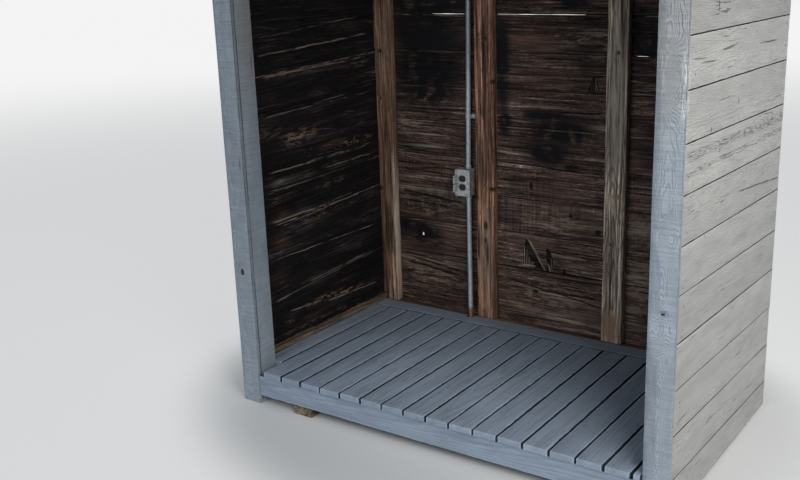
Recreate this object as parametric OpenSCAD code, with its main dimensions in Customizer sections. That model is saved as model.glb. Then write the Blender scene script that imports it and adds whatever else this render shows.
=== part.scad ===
// Wooden outhouse: an open-fronted board shelter on its own framed floor.
// The front faces -Y, the left and right walls are as seen from the front.
// The origin is on the ground under the middle of the roof's outline.

/* [Overall] */
// Width over the outer faces of the side boards
outer_w = 1829; // [1600:1:2100]
// Depth from the front of the corner boards to the rear ends of the side boards
outer_d = 1040; // [900:1:1300]
// Height of the top of the front header above the ground
front_h = 2290; // [2150:1:2500]
// Slope of the roof, falling to the back, in degrees
roof_pitch = 11.3; // [6:0.1:18]

/* [Wall boards] */
// Thickness of the wall boards and the corner boards
plank_t = 19; // [16:1:25]
// Height of the lower edge of the wall boards above the ground
siding_bottom = 4; // [2:1:12]
// Width of the boards of the right wall
right_board_w = 152; // [120:1:190]
// Open joint between the boards of the right wall
right_gap = 2.6; // [1:0.1:5]
// Width left on the lowest board of the right wall
right_first_w = 127; // [80:1:152]
// Width of the boards of the left wall
left_board_w = 152.5; // [120:0.5:190]
// Open joint between the boards of the left wall
left_gap = 2.6; // [1:0.1:5]
// Width left on the lowest board of the left wall
left_first_w = 89; // [60:1:152]
// Width of the boards of the back wall
back_board_w = 154; // [120:1:190]
// Open joint between the boards of the back wall
back_gap = 3.3; // [1:0.1:5]
// Width left on the lowest board of the back wall
back_first_w = 88; // [60:1:154]
// Distance that the side boards run past the back boards
side_lap = 2; // [0:1:8]
// Width of the corner boards on the front
corner_board_w = 89; // [85:1:110]

/* [Framing lumber] */
// Thickness of the framing lumber
stud_t = 38; // [34:1:45]
// Width of the framing lumber
stud_w = 89; // [80:1:100]
// Distance from the left wall's inner face to the middle of the brown stud
brown_stud_x = 574.5; // [480:0.5:650]
// Distance between the middles of the brown stud and the grey stud
stud_spacing = 608; // [500:1:700]
// Depth of the front header
header_h = 140; // [110:1:180]
// Depth of the rafters, square to the slope
rafter_h = 89; // [80:1:120]

/* [Floor] */
// Height of the skids under the floor frame
skid_h = 38; // [30:1:60]
// Distance from joist to joist, counted from the front
joist_spacing = 312; // [250:1:400]
// Distance of the skids' middles from the outer faces of the side boards
skid_inset = 314.5; // [200:0.5:450]
// Thickness of the floor boards
deck_t = 25; // [22:1:32]
// Width of the floor boards
deck_w = 94; // [85:1:110]
// Open joint between the floor boards
deck_gap = 5.3; // [3:0.1:9]
// Width of the border board along the left wall
border_left_w = 100; // [90:1:120]
// Width of the border board along the back wall
border_back_w = 86; // [75:1:100]
// Joint between the floor boards' ends and the back border
border_gap = 3; // [2:0.5:6]
// Distance that the floor boards run past the front of the corner boards
deck_over = 12; // [0:1:15]
// Height of the cleats on the floor along the side walls
cleat_h = 36; // [30:1:45]
// Thickness of the cleats along the side walls
cleat_t = 19; // [16:1:25]

/* [Roof] */
// Overhang of the roof at the front
over_front = 220; // [120:1:300]
// Overhang of the roof at the back
over_back = 120; // [80:1:200]
// Overhang of the roof at each side
over_side = 90; // [60:1:150]
// Thickness of the roof boards
roof_board_t = 19; // [16:1:25]
// Nominal width of the roof boards
roof_board_w = 138; // [120:1:180]
// Joint between the roof boards
roof_gap = 3; // [1:0.5:6]
// Thickness of the roof covering
cover_t = 4; // [3:0.5:8]
// Distance that the covering runs past the roof boards at the side edges
cover_over = 8; // [4:1:20]
// Length of the covering turned down at the front and the back
cover_lip = 26; // [15:1:40]
// Depth of the fascia boards at the front and the back
fascia_h = 130; // [100:1:160]
// Depth of the barge boards along the side edges
barge_h = 115; // [90:1:150]

/* [Outlet and conduit] */
// Outside width of the outlet box
box_w = 76; // [70:1:90]
// Outside height of the outlet box
box_h = 120; // [110:1:130]
// Outside depth of the outlet box without its cover
box_d = 44; // [42:1:56]
// Wall of the outlet box
box_wall = 3.5; // [2.5:0.5:5]
// Height of the middle of the outlet box above the floor
box_z = 623; // [500:1:1200]
// Distance from the left wall's inner face to the middle of the outlet box
box_x = 464.5; // [420:0.5:472]
// Thickness of the outlet cover
cover_plate_t = 3; // [2:0.5:4]
// Outside diameter of the conduit
conduit_d = 21.3; // [17:0.1:24]
// Wall of the conduit
conduit_wall = 2.6; // [1:0.1:3]
// Distance from the middle of the box to the conduit, to the right
hub_side = 12.5; // [0:0.5:16]
// Distance from the wall boards to the conduit's axis
conduit_off = 14; // [13:0.5:20]
// Lean of the conduit above the box, to the right, in degrees
conduit_lean = 0.87; // [0:0.01:1.5]
// Direction of the sweep, counted from +X towards -Y, in degrees
bend_dir = 57; // [50:1:65]
// Height of the conduit's lower end above the ground
pipe_end_z = 68; // [50:1:100]
// Height of the strap on the conduit above the floor
strap_z = 918; // [800:1:1000]
// Clearance round the conduit in its hub and its strap
conduit_fit = 0.3; // [0.2:0.1:0.6]

/* [Hidden] */
$fn = 48;

// Clearance that keeps boards from cutting into each other
slip = 1;
// Length that a cutting shape runs past the piece it cuts
past = 10;

// Front face of the corner boards, with the roof's outline centred on Y
yf = -(outer_d + over_back - over_front) / 2;
yb = yf + outer_d;
// Inner faces of the walls
xi = outer_w / 2 - plank_t;
back_in = yb - side_lap - plank_t;
stud_face = back_in - stud_t;
front_in = yf + plank_t;
// Jambs of the front opening
jamb_x = outer_w / 2 - corner_board_w;
post_w = corner_board_w - plank_t;
post_back = front_in + stud_w;
// Places of the skids and heights of the floor
skid_x = outer_w / 2 - skid_inset;
joist_z = skid_h;
deck_z = joist_z + stud_w;
floor_z = deck_z + deck_t;
// Roof lines: z of the rafters' lower edge, upper edge and the boards' top
rafter_v = rafter_h / cos(roof_pitch);
roof_board_v = roof_board_t / cos(roof_pitch);
cover_v = cover_t / cos(roof_pitch);
function under_z(y) = front_h - (y - front_in) * tan(roof_pitch);
function rafter_top_z(y) = under_z(y) + rafter_v;
function boards_top_z(y) = rafter_top_z(y) + roof_board_v;
roof_y0 = yf - over_front;
roof_y1 = yb + over_back;
roof_x = outer_w / 2 + over_side;
plate_top = under_z(stud_face);
plate_bottom = plate_top - stud_w;
header_bottom = front_h - header_h;
// Posts of the back wall
brown_x = -xi + brown_stud_x;
grey_x = brown_x + stud_spacing;
// Outlet and conduit
out_x = -xi + box_x;
out_z = floor_z + box_z;
pipe_x = out_x + hub_side;
pipe_y = back_in - conduit_off;
hub_z = out_z - box_h / 2;
// Bend below the box: the conduit comes off the wall until it clears the sill
foot_shift = (pipe_y - stud_face + conduit_d / 2 + conduit_fit) / sin(bend_dir);
bend_r = (pow(hub_z - floor_z, 2) + pow(foot_shift, 2)) / (foot_shift * 2);
sweep_a = asin((hub_z - pipe_end_z) / bend_r);
// Radius, flat height and spacing of the two outlet faces
face_r = 17.2;
face_h = 28.6;
face_pitch = 39;
// Flap lids and their hinges, left of the faces
hinge_x = -23.5;
hinge_r = 2.6;
lid_h = 34;
lid_w = 36;
lid_t = 2.4;

painted = [0.55, 0.60, 0.66];
siding_paint = [0.74, 0.75, 0.74];
charred = [0.13, 0.10, 0.09];
brown = [0.36, 0.23, 0.15];
tan = [0.50, 0.35, 0.22];
weathered = [0.42, 0.38, 0.33];
raw = [0.45, 0.35, 0.25];
felt = [0.20, 0.21, 0.22];
zinc = [0.62, 0.64, 0.66];
cast = [0.60, 0.61, 0.58];
dark = [0.12, 0.12, 0.12];

// A box given by its two corners
module bar(x0, x1, y0, y1, z0, z1) {
    translate([x0, y0, z0])
        cube([x1 - x0, y1 - y0, z1 - z0]);
}

// A side view, drawn as [y, z] points, made into a piece from x0 to x1
module side_profile(points, x0, x1) {
    translate([x0, 0, 0])
        rotate([90, 0, 90])
            linear_extrude(height = x1 - x0)
                polygon(points);
}

// The space under the rafters' upper edge, for cutting wall boards to the slope
module below_roof_boards(x0, x1) {
    y0 = yf - past;
    y1 = yb + past;
    side_profile([
        [y0, 0], [y1, 0], [y1, rafter_top_z(y1)], [y0, rafter_top_z(y0)]
    ], x0, x1);
}

// Horizontal boards stacked from the lower edge up, first_w high at the bottom
module courses(x0, x1, y0, y1, top, first_w, board_w, gap) {
    bar(x0, x1, y0, y1, siding_bottom, siding_bottom + first_w);
    pitch = board_w + gap;
    start = siding_bottom + first_w + gap;
    for (z = [start : pitch : top - gap])
        bar(x0, x1, y0, y1, z, min(z + board_w, top));
}

module skid(x) {
    color(raw)
        bar(x - stud_w / 2, x + stud_w / 2, yf + slip, back_in - slip, 0, skid_h);
}

// A joist that runs from wall to wall, on the skids
module joist(y, x0, x1) {
    color(raw)
        bar(x0, x1, y, y + stud_t, joist_z, deck_z);
}

// A rim joist beside a side wall, between the front post and the back rim
module side_rim(x0) {
    color(raw)
        bar(x0, x0 + stud_t, post_back, stud_face, joist_z, deck_z);
}

// Space of the front posts and corner boards, widened by the slip
module post_space() {
    for (s = [-1, 1])
        translate([s * (jamb_x + corner_board_w / 2), 0, 0])
            bar(-corner_board_w / 2 - slip, corner_board_w / 2 + slip,
                yf - past * 2, post_back + slip, 0, floor_z + past);
}

// Floor boards from front to back, the outer ones notched round the posts
module floor_boards() {
    pitch = deck_w + deck_gap;
    x0 = -xi + border_left_w + deck_gap;
    n = floor((xi - x0) / pitch);
    y0 = yf - deck_over;
    y1 = stud_face - border_back_w - border_gap;
    rest_w = xi - slip - (x0 + n * pitch);
    color(painted)
        difference() {
            union() {
                for (i = [0 : n - 1])
                    bar(x0 + i * pitch, x0 + i * pitch + deck_w, y0, y1, deck_z, floor_z);
                if (rest_w > 20)
                    bar(x0 + n * pitch, xi - slip, y0, y1, deck_z, floor_z);
            }
            post_space();
        }
}

module left_floor_border() {
    color(painted)
        bar(-xi, -xi + border_left_w, post_back + slip,
            stud_face - border_back_w - border_gap, deck_z, floor_z);
}

// Border along the back wall, notched where the conduit goes down
module back_floor_border() {
    notch_w = conduit_d + 12;
    foot = pipe_foot();
    color(painted)
        difference() {
            bar(-xi, xi, stud_face - border_back_w, stud_face, deck_z, floor_z);
            bar(foot[0] - notch_w / 2, foot[0] + notch_w / 2,
                foot[1] - notch_w / 2, stud_face + past, deck_z - past, floor_z + past);
        }
}

// Cleat on the floor along a side wall
module cleat(x0) {
    color(tan)
        bar(x0, x0 + cleat_t, post_back, stud_face, floor_z, floor_z + cleat_h);
}

// Sill that carries the back wall's studs, open beside the border
module back_sill() {
    color(tan)
        bar(-xi, xi, stud_face, back_in, deck_z, floor_z);
}

module front_post(x0) {
    color(painted)
        bar(x0, x0 + post_w, front_in, post_back, 0, header_bottom);
}

module corner_board(x0) {
    color(painted)
        bar(x0, x0 + corner_board_w, yf, front_in, 0, front_h);
}

// A stud laid flat against the back wall's boards
module back_stud(x, c) {
    color(c)
        bar(x - stud_w / 2, x + stud_w / 2, stud_face, back_in, floor_z, plate_bottom);
}

module left_wall_boards() {
    color(siding_paint)
        intersection() {
            courses(-outer_w / 2, -xi, front_in, yb, rafter_top_z(yf),
                left_first_w, left_board_w, left_gap);
            below_roof_boards(-outer_w / 2 - past, -xi + past);
        }
}

module right_wall_boards() {
    color(siding_paint)
        intersection() {
            courses(xi, outer_w / 2, front_in, yb, rafter_top_z(yf),
                right_first_w, right_board_w, right_gap);
            below_roof_boards(xi - past, outer_w / 2 + past);
        }
}

module back_wall_boards() {
    color(charred)
        courses(-xi, xi, back_in, back_in + plank_t, under_z(back_in + plank_t),
            back_first_w, back_board_w, back_gap);
}

module back_plate() {
    color(brown)
        bar(-xi, xi, stud_face, back_in, plate_bottom, plate_top);
}

module front_header() {
    color(raw)
        bar(-xi, xi, front_in, front_in + stud_t, header_bottom, front_h);
}

module front_header_board() {
    color(painted)
        bar(-jamb_x, jamb_x, yf, front_in, header_bottom, front_h);
}

// A rafter with plumb ends, notched over the header and the back plate
module rafter(x) {
    x0 = x - stud_t / 2;
    x1 = x + stud_t / 2;
    y0 = roof_y0 + plank_t;
    y1 = roof_y1 - plank_t;
    color(raw)
        difference() {
            side_profile([
                [y0, under_z(y0)], [y1, under_z(y1)],
                [y1, rafter_top_z(y1)], [y0, rafter_top_z(y0)]
            ], x0, x1);
            bar(x0 - past, x1 + past, front_in, front_in + stud_t, header_bottom, front_h);
            bar(x0 - past, x1 + past, stud_face, back_in, plate_bottom, plate_top);
            bar(x0 - past, x1 + past, back_in, back_in + plank_t,
                plate_bottom, under_z(back_in + plank_t));
        }
}

// Boards across the rafters, laid from the front edge to the back edge
module roof_boards() {
    run = roof_y1 - roof_y0;
    n = floor(run / roof_board_w);
    pitch = run / n;
    color(raw)
        for (i = [0 : n - 1]) {
            y0 = roof_y0 + i * pitch;
            y1 = i == n - 1 ? roof_y1 : y0 + pitch - roof_gap;
            side_profile([
                [y0, rafter_top_z(y0)], [y1, rafter_top_z(y1)],
                [y1, boards_top_z(y1)], [y0, boards_top_z(y0)]
            ], -roof_x, roof_x);
        }
}

// Covering sheet, turned down over the boards' front and back edges
module roof_covering() {
    y0 = roof_y0;
    y1 = roof_y1;
    color(felt)
        side_profile([
            [y0, boards_top_z(y0)],
            [y0, boards_top_z(y0) - cover_lip],
            [y0 - cover_t, boards_top_z(y0) - cover_lip],
            [y0 - cover_t, boards_top_z(y0 - cover_t) + cover_v],
            [y1 + cover_t, boards_top_z(y1 + cover_t) + cover_v],
            [y1 + cover_t, boards_top_z(y1) - cover_lip],
            [y1, boards_top_z(y1) - cover_lip],
            [y1, boards_top_z(y1)]
        ], -roof_x - cover_over, roof_x + cover_over);
}

// Fascia board under the roof boards, its top planed to the slope
module fascia(y0) {
    y1 = y0 + plank_t;
    low = rafter_top_z(y0) - fascia_h;
    color(painted)
        side_profile([
            [y0, low], [y1, low], [y1, rafter_top_z(y1)], [y0, rafter_top_z(y0)]
        ], -roof_x, roof_x);
}

// Barge board along a side edge, between the two fascias
module barge_board(x0) {
    y0 = roof_y0 + plank_t;
    y1 = roof_y1 - plank_t;
    color(painted)
        side_profile([
            [y0, rafter_top_z(y0) - barge_h], [y1, rafter_top_z(y1) - barge_h],
            [y1, rafter_top_z(y1)], [y0, rafter_top_z(y0)]
        ], x0, x0 + plank_t);
}

// Sideways shift of the conduit's axis at a height below the box
function sweep(z) = bend_r - sqrt(bend_r * bend_r - (hub_z - z) * (hub_z - z));
// Place of the conduit's axis at the level of the floor
function pipe_foot() =
    [pipe_x + sweep(floor_z) * cos(bend_dir), pipe_y - sweep(floor_z) * sin(bend_dir)];

// The conduit below the box or its bore, longer by extra degrees at each end
module pipe_sweep(r, extra) {
    translate([pipe_x, pipe_y, hub_z])
        rotate([0, 0, -bend_dir])
            translate([bend_r, 0, 0])
                rotate([90, 0, 0])
                    rotate([0, 0, 180 - extra])
                        rotate_extrude(angle = sweep_a + extra * 2, $fn = 720)
                            translate([bend_r, 0, 0])
                                circle(r = r, $fn = 48);
}

// The conduit above the box or its bore, leaning, from below the hub to past the plate
module pipe_rise(r, below) {
    top = out_z + box_h / 2;
    translate([pipe_x, pipe_y, top])
        rotate([0, conduit_lean, 0])
            translate([0, 0, -below])
                cylinder(r = r, h = plate_bottom - top + below + past);
}

// Conduit above and below the box, each with a collar at the hub
module conduit() {
    r = conduit_d / 2;
    bore_r = r - conduit_wall;
    collar_h = 16;
    top = out_z + box_h / 2;
    color(zinc) {
        difference() {
            union() {
                pipe_rise(r, -2);
                translate([pipe_x, pipe_y, top])
                    cylinder(r = r + 2.4, h = collar_h);
            }
            pipe_rise(bore_r, past);
            bar(pipe_x - past * 5, pipe_x + past * 5, pipe_y - past * 2, pipe_y + past * 2,
                plate_bottom, plate_bottom + past * 3);
        }
        difference() {
            union() {
                pipe_sweep(r, 0);
                translate([pipe_x, pipe_y, hub_z - collar_h])
                    cylinder(r = r + 2.4, h = collar_h);
            }
            pipe_sweep(bore_r, 0.2);
        }
    }
}

// Strap that holds the conduit off the boards, with one nailing ear
module conduit_strap() {
    r = conduit_d / 2 + conduit_fit;
    strap_t = 2.2;
    strap_w = 18;
    ear = 20;
    z0 = floor_z + strap_z - strap_w / 2;
    lean_x = (floor_z + strap_z - out_z - box_h / 2) * tan(conduit_lean);
    color(zinc)
        translate([pipe_x + lean_x, pipe_y, z0])
            difference() {
                union() {
                    cylinder(r = r + strap_t, h = strap_w);
                    translate([0, back_in - pipe_y - strap_t, 0])
                        translate([-strap_t, 0, 0])
                            cube([r + ear, strap_t, strap_w]);
                    translate([r, 0, 0])
                        cube([strap_t, back_in - pipe_y, strap_w]);
                    translate([-strap_t, 0, 0])
                        cube([strap_t * 2, back_in - pipe_y, strap_w]);
                }
                translate([0, 0, -past])
                    cylinder(r = r, h = strap_w + past * 2);
            }
}

// Cast box, open to the front, with a hub above and below for the conduit
module outlet_box() {
    r = conduit_d / 2;
    y0 = back_in - box_d;
    color(cast)
        translate([out_x, y0, out_z])
            difference() {
                rounded_block(box_w, box_d, box_h, 5);
                translate([0, -past, 0])
                    rounded_block(box_w - 2 * box_wall, box_d - box_wall + past,
                        box_h - 2 * box_wall, 3);
                translate([hub_side, pipe_y - y0, -box_h])
                    cylinder(r = r - conduit_wall, h = box_h * 2);
            }
}

// A block with rounded edges along Y, centred on X and Z, starting at Y = 0
module rounded_block(w, d, h, r) {
    translate([0, d, 0])
        rotate([90, 0, 0])
            linear_extrude(height = d)
                rounded_rect(w, h, r);
}

module rounded_rect(w, h, r) {
    union() {
        square([w - 2 * r, h], center = true);
        square([w, h - 2 * r], center = true);
        for (sx = [-1, 1], sz = [-1, 1])
            translate([sx * (w / 2 - r), sz * (h / 2 - r)])
                circle(r = r, $fn = 32);
    }
}

// Outline of one outlet face: a circle cut flat above and below
module face_outline(extra) {
    intersection() {
        circle(r = face_r + extra, $fn = 64);
        square([face_r * 2 + 10, face_h + extra * 2], center = true);
    }
}

module outlet_cover() {
    y0 = back_in - box_d - cover_plate_t;
    color(cast)
        translate([out_x, y0, out_z])
            difference() {
                union() {
                    rounded_block(box_w, cover_plate_t, box_h, 5);
                    for (s = [-1, 1])
                        translate([hinge_x, -hinge_r, s * face_pitch / 2])
                            hinge_barrel();
                }
                for (s = [-1, 1])
                    translate([0, cover_plate_t + past, s * face_pitch / 2])
                        rotate([90, 0, 0])
                            linear_extrude(height = cover_plate_t + past * 2)
                                face_outline(0.4);
            }
}

// Two end knuckles of a hinge, joined to the cover
module hinge_barrel() {
    for (s = [-1, 1])
        translate([0, 0, s * (lid_h / 2 - 3) - 2.5]) {
            cylinder(r = hinge_r, h = 5, $fn = 32);
            translate([-hinge_r, 0, 0])
                cube([hinge_r * 2, hinge_r + 0.5, 5]);
        }
}

// The two flap lids, standing open to the front
module outlet_lids() {
    y0 = back_in - box_d - cover_plate_t;
    color(cast)
        for (s = [-1, 1])
            translate([out_x + hinge_x, y0 - hinge_r, out_z + s * face_pitch / 2])
                difference() {
                    union() {
                        translate([-lid_t / 2, -lid_w, -lid_h / 2])
                            cube([lid_t, lid_w, lid_h]);
                        cylinder(r = hinge_r, h = lid_h - 11.6, center = true, $fn = 32);
                    }
                    for (e = [-1, 1])
                        translate([0, 0, e * (lid_h / 2 - 3)])
                            cylinder(r = hinge_r + 0.3, h = 5.6, center = true, $fn = 32);
                }
}

// Duplex receptacle: yoke, body and two slotted faces
module receptacle() {
    y0 = back_in - box_d;
    yoke_t = 1.6;
    body_d = 24;
    color(dark)
        translate([out_x, y0, out_z])
            difference() {
                union() {
                    rounded_block(20, yoke_t, box_h - 16, 4);
                    translate([0, yoke_t, 0])
                        rounded_block(34, body_d, box_h - 50, 3);
                    for (s = [-1, 1])
                        translate([0, yoke_t, s * face_pitch / 2])
                            rotate([90, 0, 0])
                                linear_extrude(height = yoke_t + cover_plate_t + 1)
                                    face_outline(0);
                }
                for (s = [-1, 1])
                    translate([0, 6, s * face_pitch / 2])
                        rotate([90, 0, 0])
                            linear_extrude(height = 20)
                                face_slots();
            }
}

// Two blade slots and the round earth hole of one face
module face_slots() {
    for (s = [-1, 1])
        translate([s * 6.3, 2.5])
            square([1.8, s < 0 ? 8.5 : 7], center = true);
    translate([0, -7.5])
        circle(r = 2.4, $fn = 24);
}

skid(-skid_x);  // skid_left
skid(skid_x);  // skid_right
joist(yf + slip, -jamb_x + slip, jamb_x - slip);  // front_joist
joist(yf + joist_spacing, -xi + stud_t, xi - stud_t);  // inner_joist_front
joist(yf + joist_spacing * 2, -xi + stud_t, xi - stud_t);  // inner_joist_back
joist(stud_face, -xi, xi);  // back_rim_joist
side_rim(-xi);  // left_rim_joist
side_rim(xi - stud_t);  // right_rim_joist
floor_boards();
left_floor_border();
back_floor_border();
cleat(-xi);  // left_cleat
cleat(xi - cleat_t);  // right_cleat
back_sill();
front_post(-xi);  // left_front_post
front_post(jamb_x);  // right_front_post
corner_board(-outer_w / 2);  // left_corner_board
corner_board(jamb_x);  // right_corner_board
back_stud(-xi + stud_w / 2, tan);  // left_corner_stud
back_stud(brown_x, brown);  // brown_stud
back_stud(grey_x, weathered);  // grey_stud
back_stud(xi - stud_w / 2, brown);  // right_corner_stud
left_wall_boards();
right_wall_boards();
back_wall_boards();
back_plate();
front_header();
front_header_board();
rafter(-xi + stud_t / 2);  // left_rafter
rafter(brown_x);  // inner_left_rafter
rafter(grey_x);  // inner_right_rafter
rafter(xi - stud_t / 2);  // right_rafter
roof_boards();
roof_covering();
fascia(roof_y0);  // front_fascia
fascia(roof_y1 - plank_t);  // back_fascia
barge_board(-roof_x);  // left_barge_board
barge_board(roof_x - plank_t);  // right_barge_board
conduit();
conduit_strap();
outlet_box();
outlet_cover();
receptacle();
outlet_lids();
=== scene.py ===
import math
import random

import bmesh
import bpy
import numpy as np
from mathutils import Matrix, Vector, geometry, noise


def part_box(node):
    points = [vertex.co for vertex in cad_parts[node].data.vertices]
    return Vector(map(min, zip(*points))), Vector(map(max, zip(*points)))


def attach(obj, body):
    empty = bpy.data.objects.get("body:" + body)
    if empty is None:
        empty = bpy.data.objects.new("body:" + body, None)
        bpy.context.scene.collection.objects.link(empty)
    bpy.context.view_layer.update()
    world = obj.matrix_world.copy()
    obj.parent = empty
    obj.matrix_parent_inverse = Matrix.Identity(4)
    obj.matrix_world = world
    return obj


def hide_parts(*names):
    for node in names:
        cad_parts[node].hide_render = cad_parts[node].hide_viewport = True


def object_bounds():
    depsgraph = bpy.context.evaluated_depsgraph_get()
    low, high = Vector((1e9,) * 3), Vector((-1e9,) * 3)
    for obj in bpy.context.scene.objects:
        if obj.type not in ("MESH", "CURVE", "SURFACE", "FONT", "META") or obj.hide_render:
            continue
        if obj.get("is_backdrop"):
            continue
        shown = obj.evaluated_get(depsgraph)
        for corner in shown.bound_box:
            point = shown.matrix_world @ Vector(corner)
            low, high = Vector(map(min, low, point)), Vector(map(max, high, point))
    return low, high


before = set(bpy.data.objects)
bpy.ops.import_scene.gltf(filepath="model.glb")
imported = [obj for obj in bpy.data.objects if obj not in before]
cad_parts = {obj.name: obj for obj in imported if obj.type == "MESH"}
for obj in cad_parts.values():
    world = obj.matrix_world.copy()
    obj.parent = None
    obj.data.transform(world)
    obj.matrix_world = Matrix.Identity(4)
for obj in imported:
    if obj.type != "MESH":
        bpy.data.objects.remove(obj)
cad_low, cad_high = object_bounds()

# Sizes in metres, as in the part's source
PLANK = 0.019
STUD_T = 0.038
STUD_W = 0.089
OUTER_X = 0.9145
INNER_X = 0.8955
JAMB_X = 0.8255
FRONT_Y = -0.47
FRONT_IN = -0.451
POST_BACK = -0.362
BACK_IN = 0.549
BACK_OUT = 0.568
WALL_END = 0.57
STUD_FACE = 0.511
SIDING_BOTTOM = 0.004
SIDE_FIRST = 0.1323
SIDE_PITCH = 0.1546
BACK_FIRST = 0.0937
BACK_PITCH = 0.1573
BACK_COUNT = 14
SKID_X = 0.6
SKID_Y0 = -0.469
SKID_Y1 = 0.548
JOIST_Z = 0.038
RIM_X = 0.8575
FRONT_JOIST_X = 0.8245
FRONT_JOIST_Y = -0.432
BORDER_X = -0.7955
BORDER_Y0 = -0.361
BORDER_Y1 = 0.425
DECK_Z = 0.127
DECK_T = 0.025
DECK_X0 = -0.7902
DECK_W = 0.094
DECK_PITCH = 0.0993
DECK_END = 0.8945
DECK_COUNT = 17
FLOOR_Z = 0.152
FLOOR_Y0 = -0.482
FLOOR_Y1 = 0.422
CLEAT_T = 0.019
CLEAT_H = 0.036
HEADER_Z = 2.15
FRONT_H = 2.29
PITCH = math.radians(11.3)
SLOPE = math.tan(PITCH)
LEAN = math.cos(PITCH)
RAFTER_V = 0.089 / LEAN
PLATE_BOTTOM = FRONT_H - (STUD_FACE - FRONT_IN) * SLOPE - STUD_W
ROOF_X = 1.0045
ROOF_Y = 0.69
ROOF_T = 0.019
ROOF_COUNT = 10
ROOF_BOARD = 0.135
ROOF_PITCH = 0.138
FASCIA_H = 0.13
BARGE_H = 0.115
COVER_X = 1.0125
COVER_T = 0.004
COVER_V = COVER_T / LEAN
COVER_LIP = -0.026
BROWN_X = -0.321
GREY_X = 0.287
CORNER_X = INNER_X - STUD_W / 2
OUTLET_X = -0.431
OUTLET_Z = 0.775
BOX_W = 0.076
BOX_D = 0.044
PIPE_X = -0.4185
PIPE_Y = 0.535
FOOT_X = -0.3957
FOOT_Y = 0.5001
NOTCH_AT = INNER_X + FOOT_X
STRAP_Z = 1.07
JOIN = 0.0003
BACKDROP = (0.9, 0.9, 0.9)

X = Vector((1, 0, 0))
Y = Vector((0, 1, 0))
Z = Vector((0, 0, 1))
DOWN_ROOF = Vector((0, LEAN, -math.sin(PITCH)))


def rafter_top(y):
    """Height of the rafters' upper edge."""
    return FRONT_H - (y - FRONT_IN) * SLOPE + RAFTER_V


def wave(x, y, z):
    """Smooth noise from -1 to 1."""
    return noise.noise(Vector((x, y, z)))


def nearest(values, aim):
    """The number of the value that is nearest to the aim."""
    return min(range(len(values)), key=lambda i: abs(values[i] - aim))


# Boards

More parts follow.
